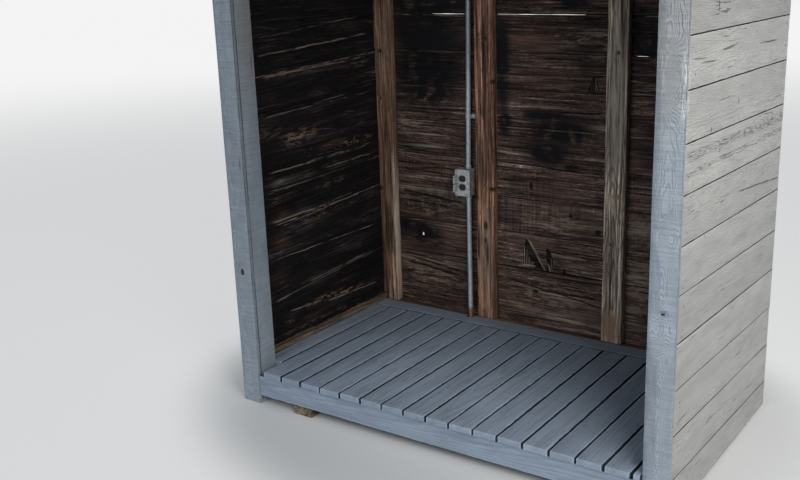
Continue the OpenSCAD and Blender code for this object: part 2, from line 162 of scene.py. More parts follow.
class Boards:
    """Gathers boards into one mesh.

    Every vertex keeps 'grain', its place in the log that the board was sawn from (x along
    the fibres, y and z across the rings), 'place' (distance along the board, from its low
    edge and from its high edge) and 'look' (tone, pale rim of bare wood and painted
    highlight, saw marks of that board).
    """

    def __init__(self):
        self.points = []
        self.faces = []
        self.slots = []
        self.grain = []
        self.place = []
        self.look = []

    def add(self, corner, along, across, out, size, seed, low=None, high=None,
            slots=(0, 0, 0), look=None, bow=0.0, cup=0.0, rough=0.0004, soft=0.002,
            step=0.03, spans=6, wander=0.0006, log=None, lean=None, ends=(0.0, 0.0),
            marks=(), lift=0.0, cap=None):
        """One board from a corner, with its length, width and thickness in size.

        low and high give how far the two long edges stand back at a distance along it.
        slots are the materials of the outer face, the inner face and the edges; cap is
        that of the two ends. log is the heart of the log and lean the board's slant in it;
        marks are extra sections; lift moves the whole board outwards.
        """
        rng = random.Random(seed)
        length, width, thick = size
        log_y, log_z = log or (rng.uniform(-0.2, 1.2) * width, -rng.uniform(0.02, 0.09))
        lean_y, lean_z = lean or (rng.uniform(-0.02, 0.02), rng.uniform(-0.035, 0.035))
        shift = rng.uniform(0, 40)
        board_look = look or (rng.uniform(0, 1), 0.0, rng.uniform(0, 1))
        first = len(self.points)
        ring = outline(width, thick, soft, spans)
        count = len(ring)
        stations = spread(ends[0], length - ends[1], soft, step, marks)

        def put(at, a, o, kind):
            """Keeps one point at a distance along, across and out of the board."""
            e0 = (low(at) if low else 0.0) + wander * wave(at * 3.1, shift, 1.7)
            e1 = (high(at) if high else 0.0) + wander * wave(at * 3.1, shift, 8.3)
            sag = lift + bow * wave(at * 1.3, shift, 4.4)
            a2 = e0 + a * (width - e0 - e1) / width
            o2 = o + sag + cup * ((2 * a / width - 1) ** 2 - 0.4)
            if kind < 2:
                o2 += (1 - 2 * kind) * rough * wave(at * 9, a * 60, shift)
            self.points.append(corner + along * at + across * a2 + out * o2)
            self.grain.append((at + shift, a - log_y + lean_y * (at - length / 2),
                               o - log_z + lean_z * (at - length / 2)))
            self.place.append((at, a2 - e0, width - e1 - a2))
            self.look.append(board_look)
            return len(self.points) - 1

        for number, at in enumerate(stations):
            end = number in (0, len(stations) - 1)
            for a, o, kind in ring:
                if end:
                    a = min(max(a, soft), width - soft)
                    o = min(max(o, soft), thick - soft)
                put(at, a, o, kind)
        for s in range(len(stations) - 1):
            for i in range(count):
                j = (i + 1) % count
                a = first + s * count
                self.faces.append((a + i, a + j, a + count + j, a + count + i))
                self.slots.append(slots[ring[i][2] if ring[i][2] == ring[j][2] else 2])
        last = first + (len(stations) - 1) * count
        self.faces.append(tuple(range(first, first + count)))
        self.faces.append(tuple(range(last, last + count)))
        self.slots += [slots[2] if cap is None else cap] * 2
        return first, stations, ring, thick, put

    def open(self, board, at, across, loop, depth=None, shrink=1.0, slant=(0.0, 0.0)):
        """Cuts a hole with the outline loop [(along, across)] into a board's inner face.

        at and across give the block of faces that makes room for it. With a depth it is
        a pocket; without, it goes through to the outer face, moved there by slant. Its
        walls have the third material.
        """
        first, stations, ring, thick, put = board
        rims = []
        for kind in (1,) if depth else (1, 0):
            if kind == 0:
                loop = [(x + slant[0], a + slant[1]) for x, a in loop]
            s0, s1 = (nearest(stations, v) for v in at)
            row = sorted((a, i) for i, (a, o, k) in enumerate(ring) if k == kind)
            i0, i1 = (nearest([a for a, i in row], v) for v in across)
            cells = [row[i][1] for i in range(i0, i1 + 1)]
            block = {first + s * len(ring) + c for s in range(s0, s1 + 1) for c in cells}
            gone = [block.issuperset(face) for face in self.faces]
            slot = self.slots[gone.index(True)]
            self.slots = [s for s, cut in zip(self.slots, gone) if not cut]
            self.faces = [face for face, cut in zip(self.faces, gone) if not cut]
            edge = [(s0, c) for c in cells] + [(s, cells[-1]) for s in range(s0 + 1, s1)]
            edge += [(s1, c) for c in reversed(cells)]
            edge += [(s, cells[0]) for s in range(s1 - 1, s0, -1)]
            rim = [put(x, a, 0.0 if kind else thick, kind) for x, a in loop]
            flat = [first + s * len(ring) + c for s, c in edge] + rim
            spots = [Vector((stations[s], ring[c][0], 0)) for s, c in edge]
            for face in geometry.tessellate_polygon(
                    [spots, [Vector((x, a, 0)) for x, a in loop]]):
                self.faces.append(tuple(flat[i] for i in face))
                self.slots.append(slot)
            rims.append(rim)
        if depth:
            mx = sum(x for x, a in loop) / len(loop)
            ma = sum(a for x, a in loop) / len(loop)
            floor = [(mx + (x - mx) * shrink, ma + (a - ma) * shrink) for x, a in loop]
            rims.append([put(x, a, depth, 2) for x, a in floor])
            for face in geometry.tessellate_polygon([[Vector((x, a, 0)) for x, a in floor]]):
                self.faces.append(tuple(rims[1][i] for i in face))
                self.slots.append(2)
        for i in range(len(loop)):
            j = (i + 1) % len(loop)
            self.faces.append((rims[0][i], rims[0][j], rims[1][j], rims[1][i]))
            self.slots.append(2)

    def build(self, name, materials, node=None, slot=None):
        """The gathered boards as one piece that rides on the hut's body."""
        mesh = bpy.data.meshes.new(name)
        mesh.from_pydata(self.points, [], self.faces)
        for key in ("grain", "place", "look"):
            values = np.array(getattr(self, key), np.float32).ravel()
            mesh.attributes.new(key, "FLOAT_VECTOR", "POINT").data.foreach_set("vector", values)
        for material in materials:
            mesh.materials.append(material)
        mesh.polygons.foreach_set("material_index", self.slots)
        finish_piece(mesh, name, node, slot)


def outline(width, thick, soft, spans):
    """Points round a board's section: (across, out, 0 outer face, 1 inner face, 2 edge)."""
    near = soft * 0.29
    face = [soft + (width - 2 * soft) * i / spans for i in range(spans + 1)]
    edge = [(near, near), (0.0, soft), (0.0, thick - soft), (near, thick - near)]
    points = [(a, thick, 0) for a in face]
    points += [(width - a, o, 2) for a, o in reversed(edge)]
    points += [(width - a, 0.0, 1) for a in face]
    return points + [(a, o, 2) for a, o in edge]


def spread(start, end, soft, step, marks):
    """Places along a board, with its two rounded ends and any extra marks."""
    inner = max(2, round((end - start - 2 * soft) / step))
    middle = [start + soft + (end - start - 2 * soft) * i / inner
              for i in range(inner + 1)]
    extra = [m for m in marks if start + soft < m < end - soft]
    return [start] + sorted(middle + extra) + [end]


# Materials that share another one's slot
SHARED_SLOTS = {"cleat_wood": "tan_wood", "sill_wood": "tan_wood", "box_metal": "cast_metal",
                "splinter_wood": "charred_wood", "screw_steel": "zinc_steel",
                "nail_steel": "zinc_steel"}


def slot_of(material):
    """The record's slot: the material's name, without the number Blender may add."""
    name = material.name.split(".")[0]
    return SHARED_SLOTS.get(name, name)


def finish_piece(mesh, name, node, slot=None, sharp=35):
    """Closes a mesh's making: normals, smooth faces, its body and what it replaces."""
    work = bmesh.new()
    work.from_mesh(mesh)
    bmesh.ops.recalc_face_normals(work, faces=work.faces)
    work.to_mesh(mesh)
    work.free()
    mesh.polygons.foreach_set("use_smooth", [True] * len(mesh.polygons))
    mesh.set_sharp_from_angle(angle=math.radians(sharp))
    piece = bpy.data.objects.new(name, mesh)
    bpy.context.scene.collection.objects.link(piece)
    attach(piece, "root")
    if node:
        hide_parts(node)
    slot or slot_of(mesh.materials[0])


# Materials

def dim(colour, share):
    """A colour times a number."""
    return tuple(c * share for c in colour)


def wider(spots, share):
    """The same ellipses, larger."""
    return [(centre, dim(radii, share)) for centre, radii in spots]


class Tree:
    """A short way to write the nodes of a material or a world.

    colour is what the layers so far have made of the surface, and place the point's
    coordinates on the hut.
    """

    def __init__(self, owner):
        owner.use_nodes = True
        self.owner = owner
        self.nodes = owner.node_tree.nodes
        self.links = owner.node_tree.links
        self.shader = self.nodes.get("Principled BSDF")
        self.colour = None
        self.place = None

    def put(self, socket, value):
        """Links a socket to another node's output, or gives it a plain value."""
        if isinstance(value, bpy.types.NodeSocket):
            self.links.new(value, socket)
        elif isinstance(value, tuple) and socket.type == "RGBA":
            socket.default_value = (*value, 1)
        else:
            socket.default_value = value

    def node(self, kind, *values, out=0, **settings):
        """A new node's output, with its settings and its first inputs."""
        node = self.nodes.new("ShaderNode" + kind)
        for name, value in settings.items():
            setattr(node, name, value)
        for socket, value in zip(node.inputs, values):
            self.put(socket, value)
        return node.outputs[out]

    def attribute(self, name):
        """One of the values that the mesh keeps."""
        return self.node("Attribute", out="Vector", attribute_name=name)

    def math(self, operation, a, b=0.0):
        """A calculation with one or two numbers."""
        return self.node("Math", a, b, operation=operation)

    def times(self, a, b):
        """The product of two numbers."""
        return self.math("MULTIPLY", a, b)

    def plus(self, a, b):
        """The sum of two numbers."""
        return self.math("ADD", a, b)

    def most(self, a, b):
        """The larger of two numbers."""
        return self.math("MAXIMUM", a, b)

    def centred(self, value, reach):
        """A number from 0 to 1 as one round 0, times its reach."""
        return self.times(self.math("SUBTRACT", value, 0.5), reach)

    def ease(self, value, start, end, low=0.0, high=1.0):
        """Goes smoothly from low at start to high at end, and stays there."""
        return self.node("MapRange", value, start, end, low, high,
                         interpolation_type="SMOOTHSTEP")

    def stretch(self, vector, scale, shift):
        """A vector times a scale, moved by a shift."""
        return self.node("Mapping", vector, shift, (0, 0, 0), scale)

    def split(self, vector):
        """The three numbers of a vector."""
        return self.node("SeparateXYZ", vector, out=slice(0, 3))

    def noise(self, vector, scale, detail=2.0, roughness=0.5, shift=(0, 0, 0), warp=0.0):
        """Noise in a vector that is stretched and moved."""
        moved = self.stretch(vector, scale, shift)
        node = self.nodes.new("ShaderNodeTexNoise")
        for name, value in (("Vector", moved), ("Scale", 1.0), ("Detail", detail),
                            ("Roughness", roughness), ("Distortion", warp)):
            self.put(node.inputs[name], value)
        return node.outputs[0]

    def curve(self, value, *stops):
        """Turns a number into another number or a colour, straight between stops."""
        node = self.nodes.new("ShaderNodeValToRGB")
        self.put(node.inputs[0], value)
        ramp = node.color_ramp
        while len(ramp.elements) < len(stops):
            ramp.elements.new(0.5)
        for element, (place, shade) in zip(ramp.elements, stops):
            element.position = place
            element.color = (*(shade if isinstance(shade, tuple) else (shade,) * 3), 1)
        return node.outputs[0]

    def mix(self, factor, a, b, blend="MIX"):
        """Two colours, blended by a factor from 0 to 1."""
        node = self.nodes.new("ShaderNodeMix")
        node.data_type = "RGBA"
        node.blend_type = blend
        for number, value in ((0, factor), (6, a), (7, b)):
            self.put(node.inputs[number], value)
        return node.outputs[2]

    def tinted(self, colour, factor):
        """A colour times a number that is worked out."""
        return self.mix(1.0, colour, factor, "MULTIPLY")

    def shade(self, factor):
        """Makes the surface so far darker or lighter."""
        self.colour = self.tinted(self.colour, factor)

    def cover(self, mask, colour, share=1.0):
        """Lays a colour over the surface so far, where the mask says."""
        if share != 1.0:
            mask = self.times(mask, share)
        self.colour = self.mix(mask, self.colour, colour)

    def close(self, roughness, relief, *heights, specular=None):
        """Sets the surface, with its relief as a sum of (pattern, share)."""
        self.put(self.shader.inputs["Base Color"], self.colour)
        self.put(self.shader.inputs["Roughness"], roughness)
        if specular is not None:
            self.put(self.shader.inputs["Specular IOR Level"], specular)
        total = None
        for value, share in heights:
            part = value if share == 1.0 else self.times(value, share)
            total = part if total is None else self.plus(total, part)
        node = self.nodes.new("ShaderNodeBump")
        self.put(node.inputs["Height"], total)
        self.put(node.inputs["Distance"], relief)
        self.links.new(node.outputs[0], self.shader.inputs["Normal"])
        return self.owner

    def spots(self, spots, core):
        """1 inside any of the soft ellipses (x, y, z), (rx, ry, rz) and 0 outside."""
        total = None
        for centre, radii in spots:
            moved = self.stretch(self.place, tuple(1 / r for r in radii),
                                 tuple(-c / r for c, r in zip(centre, radii)))
            off = self.node("VectorMath", moved, operation="LENGTH", out="Value")
            inside = self.ease(off, core, 1.0, 1.0, 0.0)
            total = inside if total is None else self.most(total, inside)
        return total

    def bends(self, spots, core, reach):
        """How far the rings move aside round knots and burls, or None."""
        return self.times(self.spots(spots, core), reach) if spots else None

    def lines(self, lines, across, up, wobble):
        """1 on any of the lines: from a and height, to a and height, half its width."""
        total = None
        for a0, h0, a1, h1, half in lines:
            rate = (h1 - h0) / (a1 - a0)
            ideal = self.plus(self.times(across, rate), h0 - a0 * rate)
            off = self.plus(self.math("SUBTRACT", up, ideal), wobble)
            on = self.ease(self.math("ABSOLUTE", off), half * 0.4, half, 1.0, 0.0)
            start, end = min(a0, a1), max(a0, a1)
            on = self.times(on, self.times(self.ease(across, start, start + 0.04),
                                           self.ease(across, end - 0.04, end, 1.0, 0.0)))
            total = on if total is None else self.most(total, on)
        return total


def surface(name):
    """A new material's tree."""
    tree = Tree(bpy.data.materials.new(name))
    tree.place = tree.node("TexCoord", out="Object")
    return tree


class Wood:
    """The shared patterns of sawn wood, as numbers from 0 to 1."""

    def __init__(self, tree, ring_gap, waver, bends=None):
        self.tree = tree
        self.grain = tree.attribute("grain")
        waved = tree.centred(self.noise((1.4, 8, 8)), waver)
        _, y, z = tree.split(self.grain)
        radius = tree.math("SQRT", tree.plus(tree.times(y, y), tree.times(z, z)))
        radius = tree.plus(radius, waved)
        if bends is not None:
            radius = tree.plus(radius, bends)
        turn = tree.math("FRACT", tree.math("DIVIDE", radius, ring_gap))
        self.rings = tree.curve(turn, (0.0, 0.0), (0.5, 0.25), (0.85, 1.0), (1.0, 0.0))
        self.fibre = self.noise((5, 420, 420), 2.0, 0.6)
        self.streak = self.noise((1.7, 60, 60), 3.0, 0.6)
        self.broad = self.noise((0.9, 14, 14))
        self.blotch = self.noise((4, 9, 9), 3.0, 0.55)
        self.tone, self.rim, self.saw = tree.split(tree.attribute("look"))
        _, from_low, self.from_high = tree.split(tree.attribute("place"))
        self.edge = tree.math("MINIMUM", from_low, self.from_high)

    def noise(self, scale, detail=2.0, roughness=0.5, shift=(0, 0, 0), warp=0.0):
        """Noise stretched along the grain."""
        return self.tree.noise(self.grain, scale, detail, roughness, shift, warp)


def painted(name, paint, under, wear, relief, stain, contrast, cracks, saw=0.0,
            ring_gap=0.0065, holes=(), gap_dark=0.0, pits=0.0, knots=(), edge_highlight=0.0,
            gap_shade=0.0, waver=0.02, burls=(), worn=(), checks=(), rough=(),
            upright=False, ripple=0.0, shade_greys=(), painted_back_shade=1.0, tones=(0.93, 1.05),
            fibres=1.0, lit_foot=1.0):
    """Paint over sawn wood: grain in relief, small cracks, and wear at the edges.

    burls are places where the rings bend; the worn spots are a painted highlight, pale and
    chalky; checks and rough are drying cracks and torn bands as lines over Y and Z, save one
    trim line that is a painted shadow behind the arris. Other options paint shade towards
    the back, at the top and in the gaps, a highlight on the arrises and light at the foot.
    """
    tree = surface(name)
    _, py, pz = tree.split(tree.place)
    along, across = (pz, py) if upright else (py, pz)
    bends = tree.bends(wider(knots, 3.4) + list(burls), 0.0, 0.02)
    if ripple:
        waves = tree.noise(tree.attribute("grain"), (16, 34, 34))
        bends = tree.plus(tree.centred(waves, ripple), bends)
    wood = Wood(tree, ring_gap, waver, bends)
    patches = wood.noise((6, 16, 16), 4.0, 0.6)
    tree.colour = paint
    tree.shade(tree.ease(patches, 0.3, 0.7, 0.9, 1.07))
    tree.shade(tree.ease(wood.tone, 0.0, 1.0, *tones))
    # Painted shade: darker towards the back, where less light falls inside.
    if painted_back_shade != 1.0:
        tree.shade(tree.ease(py, -0.35, 0.45, 1.0, painted_back_shade))
    # Painted light: lighter towards the foot, as the top lies in the eaves' shade.
    if lit_foot != 1.0:
        tree.shade(tree.ease(pz, 0.05, 1.0, lit_foot, 1.0))
    # Painted shade: a duller grey where the light is dimmer, at the top of the trim.
    if shade_greys:
        tree.cover(tree.spots(shade_greys, 0.6), (0.28, 0.285, 0.285), 0.75)
    tree.shade(tree.ease(wood.rings, 0.0, 1.0, 1.0 + contrast * 0.4, 1.0 - contrast))
    soft = contrast * fibres
    tree.shade(tree.ease(wood.fibre, 0.35, 0.65, 1.0 - soft * 0.7, 1.0 + soft * 0.5))
    dirty = tree.ease(wood.noise((2.2, 26, 26), 3.0), 0.5, 0.75)
    tree.cover(dirty, dim(paint, 0.6), stain)
    chips = wood.noise((30, 130, 130), 4.0, 0.7)
    chips = tree.plus(chips, tree.centred(patches, 0.35))
    near_edge = tree.ease(wood.edge, 0.0, 0.006, 0.1, 0.0)
    tree.cover(tree.ease(tree.plus(chips, near_edge), 0.66, 0.71), under, wear)
    split = wood.noise((9, 150, 150), 3.0, 0.6, (2, 5, 8))
    where = tree.ease(wood.noise((3, 11, 11), shift=(5, 2, 7)), 0.56, 0.66)
    crack = tree.times(tree.ease(split, 0.6, 0.66), where)
    tree.cover(crack, dim(paint, 0.15), cracks)
    # The worn spots are a painted highlight: pale, chalky patches where a side face catches the
    # light.
    if worn:
        chalky_highlight = tree.times(tree.spots(worn, 0.3), tree.ease(chips, 0.42, 0.58))
        tree.cover(chalky_highlight, (0.62, 0.63, 0.64), 0.8)
    if checks:
        wobble = tree.centred(patches, 0.0024 if upright else 0.012)
        own = tree.lines(checks, along, across, wobble)
        own = tree.times(own, tree.ease(split, 0.36, 0.5, 0.1, 1.0))
        tree.cover(own, dim(paint, 0.15), 0.85)
        crack = tree.most(crack, own)
    if rough:
        torn = wood.noise((26, 250, 250), 4.0, 0.75, (8, 8, 1))
        own = tree.lines(rough, along, across, 0.0)
        own = tree.times(own, tree.ease(torn, 0.54, 0.62))
        tree.cover(own, dim(paint, 0.25), 0.5)
        crack = tree.most(crack, own)
    if holes:
        hole = tree.spots(holes, 0.5)
        tree.cover(hole, (0.012, 0.012, 0.013), 0.9)
        crack = tree.most(crack, hole)
    if saw:
        tooth = wood.noise((250, 9, 9), 3.0, 0.6, (9, 2, 4))
        tree.shade(tree.ease(tooth, 0.36, 0.64, 0.89, 1.07))
    if gap_dark:
        ragged = wood.noise((14, 60, 60), 3.0)
        seam = tree.math("LESS_THAN", wood.edge,
                         tree.ease(ragged, 0.3, 0.7, 0.00088, 0.00352))
        filled = wood.noise((2.6, 1, 1), shift=(3, 7, 5))
        tree.cover(tree.times(seam, tree.ease(filled, 0.4, 0.56, 0.3, 0.95)),
                   dim(paint, gap_dark))
    # Painted highlight: a pale line along each board's rounded arris.
    if edge_highlight:
        arris_highlight = tree.curve(wood.edge, (0.0, 0.0), (0.0012, 1.0), (0.0035, 1.0),
                           (0.0065, 0.0))
        tree.cover(arris_highlight, tuple(min(0.8, c * 1.5) for c in paint), edge_highlight)
    # Painted shade: the boards' sides go near black where they face into the gaps.
    if gap_shade:
        dented = wood.noise((22, 9, 9), 3.0, 0.6)
        reach = tree.ease(dented, 0.35, 0.65, 0.001, 0.003)
        tree.cover(tree.math("LESS_THAN", wood.edge, reach), dim(paint, 0.08), gap_shade)
    if knots:
        tree.cover(tree.spots(wider(knots, 1.5), 0.7), (0.55, 0.55, 0.55), 0.35)
        heart = tree.spots(knots, 0.7)
        tree.cover(heart, (0.014, 0.012, 0.012), 0.95)
        crack = tree.most(crack, heart)
    heights = [(wood.rings, -0.6), (wood.fibre, 0.9 * fibres), (crack, -2.0)]
    if pits:
        pit = wood.noise((45, 160, 160), 3.0, 0.6, (4, 4, 1))
        heights.append((tree.ease(pit, 0.4, 0.7), pits))
    if saw:
        heights.append((tooth, saw))
    return tree.close(0.62, relief, *heights, specular=0.35)


def bare(name, light, dark, ring_gap=0.0055, ring_dark=0.6, waver=0.014, knots=(),
         pales=(), pale=None, reds=(), red=None, cracks=(), grime=0.0, depth=0.6,
         streaks_and_shade=(), height_light=None):
    """Unpainted lumber with rings, streaks, knots, stains and drying cracks.

    Its levels at 0.1 m and at 1.5 m above the ground, given by height, are painted light,
    lighter at the foot and darker at the top; its darker spots are painted shade on the
    corner stud and a dark streak on the middle stud.
    """
    tree = surface(name)
    px, _, pz = tree.split(tree.place)
    wood = Wood(tree, ring_gap, waver, tree.bends(wider(knots, 3.0), 0.1, 0.014))
    tree.colour = tree.mix(tree.ease(wood.broad, 0.32, 0.68), light, dark)
    tree.shade(tree.ease(wood.rings, 0.0, 1.0, 1.05, ring_dark))
    tree.shade(tree.curve(wood.streak, (0.34, 0.3), (0.43, 0.75), (0.54, 1.0),
                          (0.68, 1.0 + 0.6 * depth)))
    vein = wood.noise((2.4, 130, 130), 4.0, 0.7, (3, 1, 2))
    tree.shade(tree.curve(vein, (0.39, 1.0 - 1.15 * depth), (0.46, 1.0 - 0.3 * depth),
                          (0.53, 1.0), (0.62, 1.0 + 0.9 * depth)))
    tree.shade(tree.ease(wood.fibre, 0.32, 0.68, 0.55, 1.35))
    short = wood.noise((26, 190, 190), 3.0, 0.65, (7, 4, 9))
    tree.shade(tree.curve(short, (0.33, 1.0 - depth), (0.42, 1.0), (0.62, 1.0),
                          (0.7, 1.0 + 0.8 * depth)))
    tree.shade(tree.ease(wood.tone, 0.0, 1.0, 0.8, 1.12))
    # Painted light: lighter at the foot and darker at the top.
    if height_light:
        tree.shade(tree.ease(pz, 0.1, 1.5, *height_light))
    mottle = tree.ease(wood.blotch, 0.35, 0.6, 0.35, 1.0)
    streaky = tree.ease(vein, 0.44, 0.52, 0.35, 1.0)
    if pales:
        mask = tree.times(tree.spots(pales, 0.3), mottle)
        tree.cover(tree.times(mask, tree.ease(vein, 0.4, 0.52, 0.25, 1.0)), pale)
    # Darker spots: painted shade on the corner stud, a real dark streak on the middle stud.
    if streaks_and_shade:
        mask = tree.times(tree.spots(streaks_and_shade, 0.3),
                          tree.ease(vein, 0.4, 0.56, 1.0, 0.55))
        tree.shade(tree.ease(mask, 0.0, 1.0, 1.0, 0.42))
    if reds:
        tree.cover(tree.times(tree.spots(reds, 0.3), streaky), red)
    if grime:
        tree.cover(tree.ease(wood.blotch, 0.45, 0.65, 0.0, grime), (0.03, 0.022, 0.018))
    if knots:
        heart = tree.spots(knots, 0.55)
        tree.cover(tree.spots(wider(knots, 1.7), 0.4), dim(dark, 0.35), 0.6)
        tree.cover(heart, dim(dark, 0.1), 0.9)
    check = tree.ease(wood.noise((2.2, 110, 110), 3.0, 0.6, (2, 5, 8)), 0.66, 0.7)
    if cracks:
        wobble = tree.centred(wood.broad, 0.02)
        check = tree.most(check, tree.lines(cracks, pz, px, wobble))
    tree.cover(check, dim(dark, 0.12), 0.85)
    return tree.close(0.75, 0.0008, (wood.rings, 0.5), (wood.fibre, 1.0),
                      (wood.streak, 1.2), (check, -2.0), specular=0.25)


def charred(name, shades, pale, soot_and_shadow=(), burn=(0.45, 0.65, 0.6), pales=(), reds=(),
            browns=(), lines=(), split_and_lit_colour=None, dark_lines=(), knots=(), level=1.0,
            sideways=False, wisps=0.5, rim_bare_lit_colour=(0.3, 0.22, 0.15), flecks=(),
            fleck_colour=None, blacks=()):
    """Planks stained and charred by smoke: dark, with pale raised grain and cracks.

    shades are the darkest, middle and lightest colour of the wood along its grain. The
    material is near the size where the wall comes out black, so it takes no more nodes.
    """
    tree = surface(name)
    px, py, pz = tree.split(tree.place)
    across = py if sideways else px
    wood = Wood(tree, 0.01, 0.04, tree.bends(wider(knots, 3.0), 0.1, 0.02))
    bent = wood.noise((1.8, 30, 30), 6.0, 0.74, warp=0.7)
    deep, middle, high = shades
    tree.colour = tree.curve(bent, (0.28, deep), (0.44, middle), (0.56, dim(middle, 1.35)),
                             (0.72, high))
    shade = tree.ease(wood.tone, 0.0, 1.0, 0.55 * level, 1.5 * level)
    fine = wood.noise((3.0, 130, 130), 4.0, 0.65, (1, 2, 3))
    shade = tree.times(shade, tree.curve(fine, (0.36, 0.18), (0.46, 0.72), (0.55, 1.13),
                                         (0.66, 2.5)))
    grit = wood.noise((45, 230, 230), 3.0, 0.7, (2, 2, 8))
    shade = tree.times(shade, tree.curve(grit, (0.36, 0.28), (0.47, 0.96), (0.57, 1.03),
                                         (0.69, 2.4)))
    shade = tree.times(shade, tree.ease(wood.rings, 0.0, 1.0, 1.15, 0.65))
    # Painted light: the lower back wall is darker in the left bay and lighter in the middle and
    # right bays.
    if not sideways:
        low = tree.ease(pz, 0.7, 1.0, 1.0, 0.0)
        own = tree.ease(px, -0.42, -0.3, -0.2, 0.32)
        shade = tree.times(shade, tree.plus(tree.times(low, own), 1.0))
    tree.shade(shade)
    fleck = tree.ease(wood.noise((24, 95, 95), 4.0, 0.7, (6, 8, 3)), 0.5, 0.58)
    mottle = tree.ease(wood.blotch, 0.35, 0.6, 0.25, 1.0)
    streaky = tree.ease(bent, 0.42, 0.62)
    if browns:
        mask = tree.times(tree.times(tree.spots(browns, 0.3), mottle), 0.7)
        tree.cover(mask, tree.tinted(dim(middle, 1.5), tree.ease(fine, 0.3, 0.7, 0.6, 1.5)))
    if reds:
        mask = tree.times(tree.spots(reds, 0.2), mottle)
        mask = tree.times(tree.times(mask, tree.ease(bent, 0.38, 0.58, 0.35, 1.0)), 0.85)
        tree.cover(mask, tree.tinted((0.095, 0.055, 0.04),
                                     tree.ease(fine, 0.3, 0.7, 0.4, 1.6)))
    if pales:
        mask = tree.times(tree.spots(pales, 0.2), streaky)
        tree.cover(tree.times(mask, tree.ease(fine, 0.4, 0.56, 0.1, 0.85)), pale)
    if flecks:
        tree.cover(tree.times(tree.spots(flecks, 0.3), fleck), fleck_colour, 0.8)
    teeth = wood.noise((85, 2.2, 2.2), 2.0, 0.6, (1, 6, 3))
    patch = tree.ease(wood.noise((3.5, 7, 7), shift=(8, 1, 5)), 0.42, 0.6)
    sawn = tree.times(tree.ease(wood.saw, 0.45, 0.8), patch)
    sawn = tree.times(sawn, tree.ease(teeth, 0.36, 0.64, -0.24, 0.26))
    tree.shade(tree.plus(sawn, 1.0))
    wavy = wood.noise((1.9, 30, 30), 3.0, 0.5, (6, 1, 2), 0.8)
    line = tree.curve(wavy, (0.495, 0.0), (0.51, 1.0), (0.525, 0.0))
    where = tree.ease(wood.noise((2.3, 10, 10), shift=(7, 3, 1)), 0.5, 0.64)
    line = tree.times(line, where)
    tree.cover(line, pale, wisps)
    cracks = wood.noise((2.6, 55, 55), 3.0, 0.6, (3, 9, 4), 0.5)
    crack = tree.curve(cracks, (0.47, 0.0), (0.5, 1.0), (0.53, 0.0))
    torn = tree.ease(wood.noise((2.0, 9, 9), shift=(4, 8, 2)), 0.46, 0.6)
    crack = tree.times(crack, torn)
    wobble = tree.centred(tree.noise(tree.place, (7, 7, 7), 4.0, 0.62, (2, 3, 1)), 0.018)
    if dark_lines:
        crack = tree.most(crack, tree.lines(dark_lines, across, pz, wobble))
    tree.cover(crack, (0.003, 0.003, 0.003), 0.9)
    start, end, most = burn
    char_and_shadow = tree.ease(tree.noise(tree.place, (3.2, 3.2, 6.5), 4.0, 0.6), start, end, 0.0, most)
    # Dark patches: soot, and a painted shadow along the conduit.
    if soot_and_shadow:
        moved = tree.noise(tree.place, (16, 16, 16), 3.0)
        char_and_shadow = tree.most(char_and_shadow, tree.times(tree.spots(soot_and_shadow, 0.3),
                                            tree.ease(moved, 0.32, 0.5, 0.5, 1.0)))
    if blacks:
        char_and_shadow = tree.most(char_and_shadow, tree.times(tree.spots(blacks, 0.25),
                                            tree.ease(bent, 0.42, 0.62, 1.0, 0.86)))
    tree.cover(char_and_shadow, (0.007, 0.0065, 0.008))
    # Pale lines along splits and board edges: bare wood and painted highlight.
    if lines:
        strip = tree.lines(lines, across, pz, wobble)
        strip = tree.times(strip, tree.curve(fine, (0.36, 0.05), (0.46, 0.9), (0.6, 1.0)))
        torn = wood.noise((9, 40, 40), 3.0, 0.6, (5, 5, 5))
        tree.cover(tree.times(strip, tree.ease(torn, 0.36, 0.52)), split_and_lit_colour)
    if knots:
        tree.cover(tree.spots(knots, 0.4), (0.006, 0.004, 0.004), 0.92)
    # Pale upper edges of the planks: bare wood and painted highlight.
    reach = tree.ease(wood.noise((10, 60, 60), 3.0), 0.3, 0.7, 0.002, 0.01)
    frayed = wood.noise((13, 110, 110), 4.0, 0.7, (4, 1, 7))
    rim = tree.times(tree.math("LESS_THAN", wood.from_high, reach), wood.rim)
    tree.cover(tree.times(rim, tree.ease(frayed, 0.42, 0.54)), rim_bare_lit_colour)
    tree.cover(tree.ease(wood.edge, 0.0008, 0.0028, 1.0, 0.0), (0.002, 0.002, 0.002), 0.95)
    return tree.close(0.8, 0.0022, (bent, 2.2), (fine, 0.9), (crack, -1.5), (line, 0.8),
                      specular=0.12)


def metal(name, colour, dirty, roughness, metallic, dirt, rust=(), shade_spots=()):
    """Dull metal with dirt in patches, rust where named, and painted shade where named."""
    tree = surface(name)
    patches = tree.noise(tree.place, (70, 70, 70), 4.0, 0.6)
    tree.colour = tree.mix(tree.ease(patches, 0.42, 0.66, 0.0, dirt), colour, dirty)
    if rust:
        mottle = tree.ease(tree.noise(tree.place, (120, 120, 120), 4.0), 0.3, 0.52, 0.5, 1.0)
        tree.cover(tree.times(tree.spots(rust, 0.6), mottle), (0.17, 0.085, 0.045))
    # Painted shade where named.
    if shade_spots:
        tree.shade(tree.ease(tree.spots(shade_spots, 0.5), 0.0, 1.0, 1.0, 0.55))
    tree.put(tree.shader.inputs["Metallic"], metallic)
    return tree.close(roughness, 0.0002, (tree.noise(tree.place, (500, 500, 500), 3.0), 1.0))


